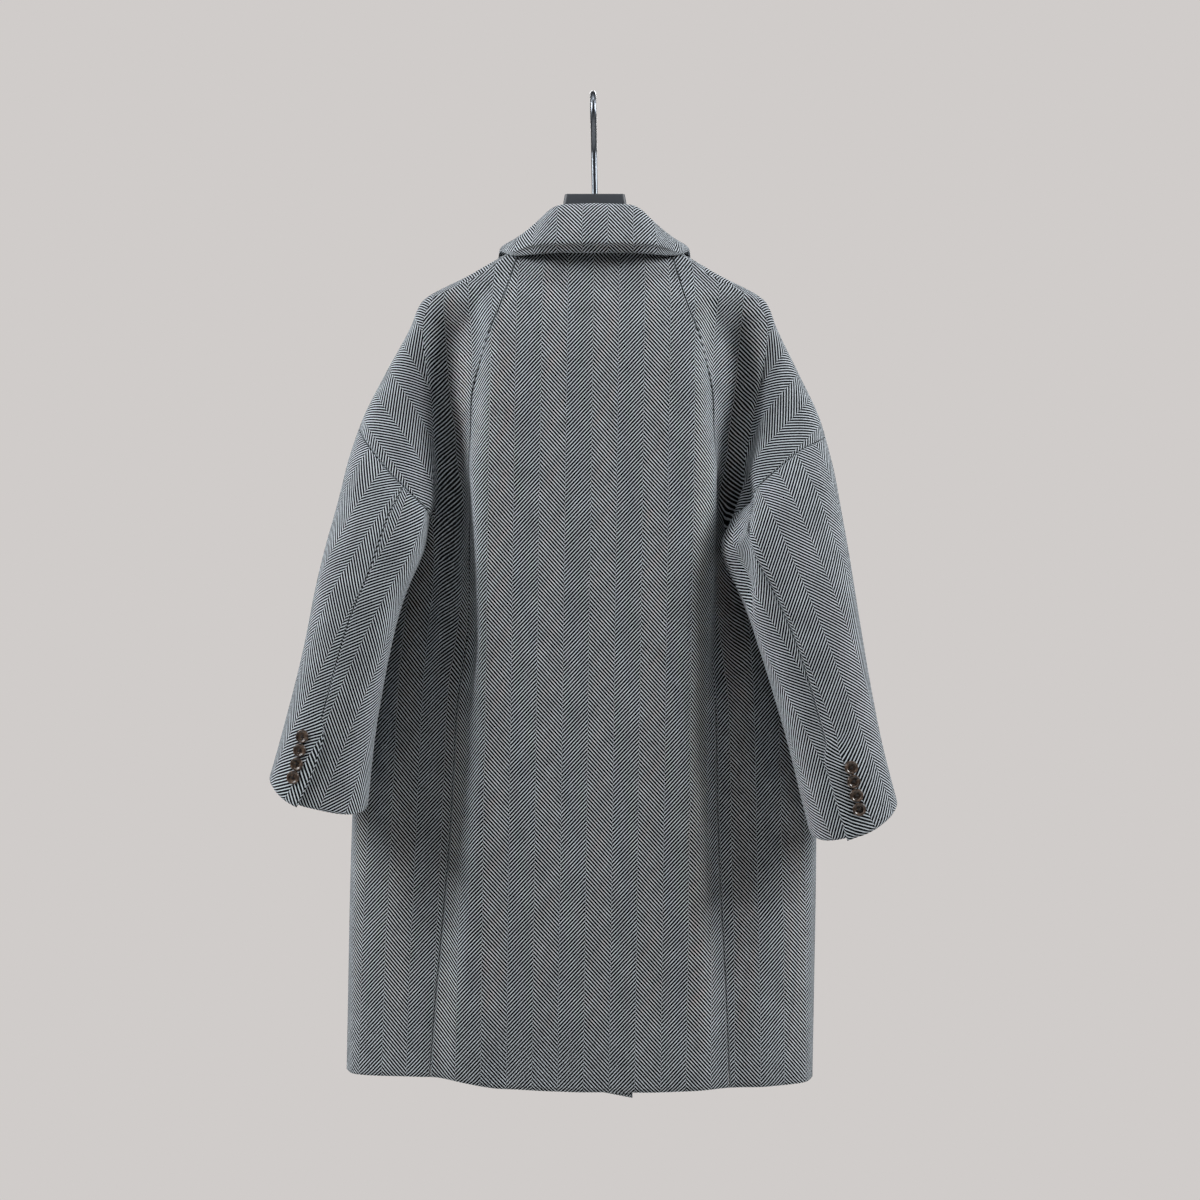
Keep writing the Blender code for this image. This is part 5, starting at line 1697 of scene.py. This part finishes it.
block_mesh.shade_smooth()
block = link("hanger_block_plastic", block_mesh)
print("block faces:", len(block_mesh.polygons))

# %% Bend the hook
WIRE = 3.3
HOOK_RADIUS = 18.0
HOOK_STEM_DROP = 64.0
HOOK_STRAIGHT = 10.0
HOOK_ANGLES = (177, -35)
SWING_STEPS = 26
BEND_STEPS = 72

ring = HOOK_RADIUS + WIRE
wire_line = [(0, -BLOCK_TOP_DROP + SEAM_GAP), (0, -HOOK_STEM_DROP - HOOK_STRAIGHT)]
for u in np.linspace(0.04, 1, SWING_STEPS):
    wire_line.append((-ring * ramp(u, 0, 1), -HOOK_STEM_DROP + (HOOK_STEM_DROP - HOOK_RADIUS) * u))
for angle in np.radians(np.linspace(*HOOK_ANGLES, BEND_STEPS)):
    wire_line.append((ring * math.cos(angle), ring * math.sin(angle) - HOOK_RADIUS))
wire = bpy.data.curves.new("hook", "CURVE")
wire.dimensions = "3D"
wire.bevel_depth = WIRE * MM
wire.bevel_resolution = 8
wire.use_fill_caps = True
spline = wire.splines.new("POLY")
spline.points.add(len(wire_line) - 1)
for spot, (y, z) in zip(spline.points, wire_line):
    lean = LEAN_TOP * min(max(-z, 0.0) / BLOCK_TOP_DROP, 1.0)
    spot.co = (lean * MM, y * MM, z * MM, 1)
bent = link("hook_curve", wire)
hook_mesh = bpy.data.meshes.new_from_object(bent.evaluated_get(bpy.context.evaluated_depsgraph_get()))
hook_mesh.name = "hanger_hook_steel"
bpy.data.objects.remove(bent, do_unlink=True)
hook_mesh.shade_smooth()
hook = link("hanger_hook_steel", hook_mesh)
print("hook faces:", len(hook_mesh.polygons))

# %% [markdown]
# ## Finishes
# Colours are written as hex codes the way a designer would note them, and one function turns them into
# the linear values that light needs. One more small function adds a node with its settings and its
# links, so that a material reads from top to bottom like a recipe.

# %% Colour and node helpers
def linear(code):
    """A hex colour in linear RGB."""
    parts = [int(code[k:k + 2], 16) / 255 for k in (1, 3, 5)]
    return tuple(v / 12.92 if v <= 0.04045 else ((v + 0.055) / 1.055) ** 2.4 for v in parts) + (1.0,)


def node(tree, kind, inputs=None, **settings):
    """Add a node: settings are its properties, inputs are values or sockets to link."""
    made = tree.nodes.new(kind)
    for name, value in settings.items():
        setattr(made, name, value)
    for name, value in (inputs or {}).items():
        if isinstance(value, bpy.types.NodeSocket):
            tree.links.new(value, made.inputs[name])
        else:
            made.inputs[name].default_value = value
    return made


def principled(name, **inputs):
    """A new material with its shader's sockets set, ready for more nodes."""
    made = bpy.data.materials.new(name)
    made.use_nodes = True
    shader = made.node_tree.nodes["Principled BSDF"]
    for key, value in inputs.items():
        shader.inputs[key.replace("_", " ")].default_value = value
    return made, made.node_tree, shader


print("mid grey as light:", round(linear("#808080")[0], 3))

# %% [markdown]
# ## Woollen herringbone
# Herringbone is a twill whose slant turns round in every column, so light and dark yarns make rows of
# arrows. A folded coordinate gives the turning slant, a second one repeats the rib, and noise frays
# both, because brushed wool has no hard edges. Sizes are in real millimetres on the cloth.

# %% Weave the wool
# Height of a rib down the cloth and its slope; half a rib counts from 0 to 2.2 mm, dark at its start
RIB = 4.4
RIB_SLOPE = 1.09
RIB_DARK = 1.27
RIB_LIGHT = 1.57

# Noise on the cloth, per mm: frayed edges every 2 mm, hairs every half mm, cloudy wear every 30 mm
FRAY = 0.55
FRAY_DEPTH = 0.9
HAIR = 1.9
CLOUD = 0.035


def woollen_herringbone(name, dark, light):
    """Brushed herringbone: dark and light ribs, a raised nap and a soft sheen at grazing angles."""
    made, tree, shader = principled(name, Roughness=0.92, Sheen_Weight=0.13, Sheen_Roughness=0.45,
                                    Sheen_Tint=linear("#c9ced4"), Specular_IOR_Level=0.15)
    place_on = node(tree, "ShaderNodeUVMap", uv_map="weave").outputs["UV"]
    fray = node(tree, "ShaderNodeTexNoise",
                {"Vector": place_on, "Scale": FRAY, "Detail": 3.0, "Roughness": 0.6}).outputs["Fac"]
    axes = node(tree, "ShaderNodeSeparateXYZ", {0: place_on})
    across, down = axes.outputs["X"], axes.outputs["Y"]
    column = node(tree, "ShaderNodeMath", {0: across, 1: COLUMN_WIDTH}, operation="PINGPONG").outputs[0]
    turns = node(tree, "ShaderNodeMath", {0: across, 1: COLUMN_WIDTH}, operation="DIVIDE").outputs[0]
    whole = node(tree, "ShaderNodeMath", {0: turns}, operation="FLOOR").outputs[0]
    odd = node(tree, "ShaderNodeMath", {0: whole, 1: 2.0}, operation="FLOORED_MODULO").outputs[0]
    slant = node(tree, "ShaderNodeMath", {0: column, 1: -RIB_SLOPE, 2: down},
                 operation="MULTIPLY_ADD").outputs[0]
    offset = node(tree, "ShaderNodeMath", {0: odd, 1: RIB / 2, 2: slant},
                  operation="MULTIPLY_ADD").outputs[0]
    frayed = node(tree, "ShaderNodeMath", {0: fray, 1: FRAY_DEPTH, 2: offset},
                  operation="MULTIPLY_ADD").outputs[0]
    rib = node(tree, "ShaderNodeMath", {0: frayed, 1: RIB / 2}, operation="PINGPONG").outputs[0]
    level = node(tree, "ShaderNodeMapRange", {0: rib, 1: RIB_DARK, 2: RIB_LIGHT, 3: 0.0, 4: 1.0},
                 interpolation_type="SMOOTHSTEP").outputs[0]
    hair = node(tree, "ShaderNodeTexNoise",
                {"Vector": place_on, "Scale": HAIR, "Detail": 4.0, "Roughness": 0.7}).outputs["Fac"]
    cloud = node(tree, "ShaderNodeTexNoise",
                 {"Vector": place_on, "Scale": CLOUD, "Detail": 2.0}).outputs["Fac"]
    mottled = node(tree, "ShaderNodeMapRange", {0: hair, 1: 0.3, 2: 0.7, 3: -0.16, 4: 0.1}).outputs[0]
    mixed = node(tree, "ShaderNodeMath", {0: level, 1: mottled}, operation="ADD", use_clamp=True).outputs[0]
    yarn = node(tree, "ShaderNodeMix", {0: mixed, 6: linear(dark), 7: linear(light)},
                data_type="RGBA").outputs[2]
    tone = node(tree, "ShaderNodeMapRange", {0: cloud, 1: 0.3, 2: 0.7, 3: 0.9, 4: 1.08}).outputs[0]
    colour = node(tree, "ShaderNodeVectorMath", {0: yarn, 3: tone}, operation="SCALE").outputs[0]
    raised = node(tree, "ShaderNodeMath", {0: hair, 1: 0.5, 2: level}, operation="MULTIPLY_ADD").outputs[0]
    nap = node(tree, "ShaderNodeBump", {"Height": raised, "Strength": 0.35, "Distance": 0.0006}).outputs[0]
    tree.links.new(colour, shader.inputs["Base Color"])
    tree.links.new(nap, shader.inputs["Normal"])
    return made


wool = woollen_herringbone("woollen herringbone", "#04070b", "#d6dfe7")
for piece in CLOTH_PIECES.values():
    piece.data.materials.append(wool)
print("wool on", len(CLOTH_PIECES), "pieces")

# %% [markdown]
# ## Horn
# Buttons of this kind are turned from horn and polished, so they show cloudy brown streaks under a
# gloss. Streaks could be painted, but noise that is pulled about by itself gives no two buttons the
# same ones, and a thin clear coat gives the small bright reflections.

# %% Polish the horn
# Streaks per metre, so one about every 4 mm
STREAKS = 260.0


def horn_finish():
    """Dark brown horn with cloudy streaks and a polish that catches small lights."""
    made, tree, shader = principled("horn", Roughness=0.28, Coat_Weight=0.3, Coat_Roughness=0.12)
    spots = node(tree, "ShaderNodeTexCoord").outputs["Object"]
    streak = node(tree, "ShaderNodeTexNoise",
                  {"Vector": spots, "Scale": STREAKS, "Detail": 4.0, "Distortion": 1.2}).outputs["Fac"]
    part = node(tree, "ShaderNodeMapRange", {0: streak, 1: 0.38, 2: 0.68}).outputs[0]
    colour = node(tree, "ShaderNodeMix", {0: part, 6: linear("#1b1411"), 7: linear("#6b584a")},
                  data_type="RGBA").outputs[2]
    tree.links.new(colour, shader.inputs["Base Color"])
    return made


horn = horn_finish()
for button in BUTTONS.values():
    button.data.materials.append(horn)
print("horn on", len(BUTTONS), "buttons")

# %% [markdown]
# ## Thread, plastic and steel
# The small things are plain in colour, and what tells them apart is how they take the light. So they
# share one recipe, a colour with a fine grain, and differ in how rough, how grainy and how metallic
# they are.

# %% Thread, matt plastic and chromed steel
GRAIN_DEPTH = 0.0002


def fine_finish(name, code, scale, strength, **inputs):
    """A plain colour with a fine grain in its surface, which breaks up the highlights."""
    made, tree, shader = principled(name, Base_Color=linear(code), **inputs)
    spots = node(tree, "ShaderNodeTexCoord").outputs["Object"]
    grain = node(tree, "ShaderNodeTexNoise", {"Vector": spots, "Scale": scale, "Detail": 3.0}).outputs["Fac"]
    bump = node(tree, "ShaderNodeBump",
                {"Height": grain, "Strength": strength, "Distance": GRAIN_DEPTH}).outputs[0]
    tree.links.new(bump, shader.inputs["Normal"])
    return made


# Spun and waxed: dull, with a twist about every third of a millimetre
thread = fine_finish("waxed thread", "#2a2523", 3000.0, 0.4, Roughness=0.7)
# Moulded in an etched tool: a broad soft highlight, with grain of two thirds of a millimetre
plastic = fine_finish("matt plastic", "#4a4e54", 1500.0, 0.15, Roughness=0.5)
# Drawn and plated: smooth, worn to a soft shine that takes the colour of what is around
steel = fine_finish("chromed steel", "#767c84", 300.0, 0.0, Roughness=0.34, Metallic=1.0)
for stitch in THREADS.values():
    stitch.data.materials.append(thread)
for piece, finish in ((arms, plastic), (block, plastic), (hook, steel)):
    piece.data.materials.clear()
    piece.data.materials.append(finish)
print("finishes:", [finish.name for finish in (wool, horn, thread, plastic, steel)])

# %% [markdown]
# ## Fastening pieces to the frame
# Each fine piece takes the place of one solid and hangs with the same body. Cloth pieces carry their
# panels laid flat as a map, and their cuts are added up into one area.

# %% Ride and replace
for node_name, piece in CLOTH_PIECES.items():
    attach(piece, "root")
    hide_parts(node_name)
for node_name, piece in BUTTONS.items():
    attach(piece, "root")
    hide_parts(node_name)
    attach(THREADS[node_name], "root")
HANGER = (("hanger_arms", arms, "hanger"), ("hanger_block", block, "hanger"), ("hanger_hook", hook, "hook"))
for node_name, piece, slot in HANGER:
    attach(piece, "root")
    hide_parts(node_name)
print("pieces on the hanger:", len(CLOTH_PIECES) + len(BUTTONS) + len(THREADS) + len(HANGER))

# %% Add up the cuts
whole_cut = 0.0
for node_name, piece in CLOTH_PIECES.items():
    width, length, area = CUTS[piece.name]
    whole_cut += min(area, width * length)
print("whole cut in square metres:", round(whole_cut, 3))

# %% [markdown]
# ## Floor, light and camera
# A pale floor and broad soft lights show the weave without hard shadows. The two strong ones stand at
# the sides, above the shoulders, so that light rakes over the back and its folds stay dark. A weak one
# hangs above the collar, and one lights the front. The camera is level with the chest, square on to
# the back, and far enough away that the coat isn't distorted.

# %% Set the studio
FLOOR_DROP = 1750.0
FLOOR_GLOW = 0.7
SOFT_LIGHT = 0.06
CHEST = (0.0, -0.05, -0.5)


def area_light(name, where, at, size, power):
    """A square soft light that points from one place to another, in metres."""
    lamp = bpy.data.lights.new(name, "AREA")
    lamp.shape = "RECTANGLE"
    lamp.size, lamp.size_y = size
    lamp.energy = power
    made = link(name, lamp)
    made.location = where
    made.rotation_euler = (Vector(at) - Vector(where)).to_track_quat("-Z", "Y").to_euler()
    return made


floor_mesh = bpy.data.meshes.new("pale_floor")
corners = [(-3, -5), (3, -5), (3, 1.5), (-3, 1.5)]
floor_mesh.from_pydata([(x, y, -FLOOR_DROP * MM) for x, y in corners], [], [(0, 1, 2, 3)])
floor = link("pale_floor", floor_mesh)
# Rolled on and chalky: no shine, and bright enough by itself to look evenly lit
paint = fine_finish("matt pale paint", "#d9d6d2", 40.0, 0.05, Roughness=0.85,
                    Emission_Color=linear("#cfccc9"))
glow = node(paint.node_tree, "ShaderNodeLightPath").outputs["Is Camera Ray"]
lift = node(paint.node_tree, "ShaderNodeMath", {0: glow, 1: FLOOR_GLOW}, operation="MULTIPLY").outputs[0]
paint.node_tree.links.new(lift, paint.node_tree.nodes["Principled BSDF"].inputs["Emission Strength"])
floor_mesh.materials.append(paint)
above = area_light("above", (0.0, -0.5, 1.8), CHEST, (1.6, 0.3), 12.0)
left_side = area_light("left_side", (-2.4, -0.6, 0.9), CHEST, (0.6, 1.2), 81.0)
right_side = area_light("right_side", (2.4, -0.6, 0.9), CHEST, (0.6, 1.2), 77.0)
front_light = area_light("front", (0.3, 3.0, 1.0), (0.0, 0.0, -0.5), (2.0, 1.4), 60.0)
print("lights in watts:", [lamp.data.energy for lamp in (above, left_side, right_side, front_light)])

# %% Light all around
world = bpy.data.worlds.new("studio")
bpy.context.scene.world = world
world.use_nodes = True
tree = world.node_tree
soft = tree.nodes["Background"]
soft.inputs["Color"].default_value = linear("#e6e6e8")
soft.inputs["Strength"].default_value = SOFT_LIGHT
backdrop = node(tree, "ShaderNodeBackground", {"Color": linear("#d0ccca"), "Strength": 1.0})
seen = node(tree, "ShaderNodeLightPath").outputs["Is Camera Ray"]
both = node(tree, "ShaderNodeMixShader", {0: seen, 1: soft.outputs[0], 2: backdrop.outputs[0]})
tree.links.new(both.outputs[0], tree.nodes["World Output"].inputs["Surface"])
bpy.context.scene.view_settings.view_transform = "Standard"
print("light from all around:", SOFT_LIGHT)

# %% Place the camera
eye = bpy.data.cameras.new("camera")
eye.lens = 65.3
eye.sensor_width = 36.0
eye.shift_x = 0.0179
eye.shift_y = -0.0458
camera = link("camera", eye)
camera.location = (-0.016, -2.4, -0.494)
camera.rotation_euler = (math.radians(90), 0.0, 0.0)
bpy.context.scene.camera = camera
print("camera at", tuple(round(v, 3) for v in camera.location), "lens", eye.lens)
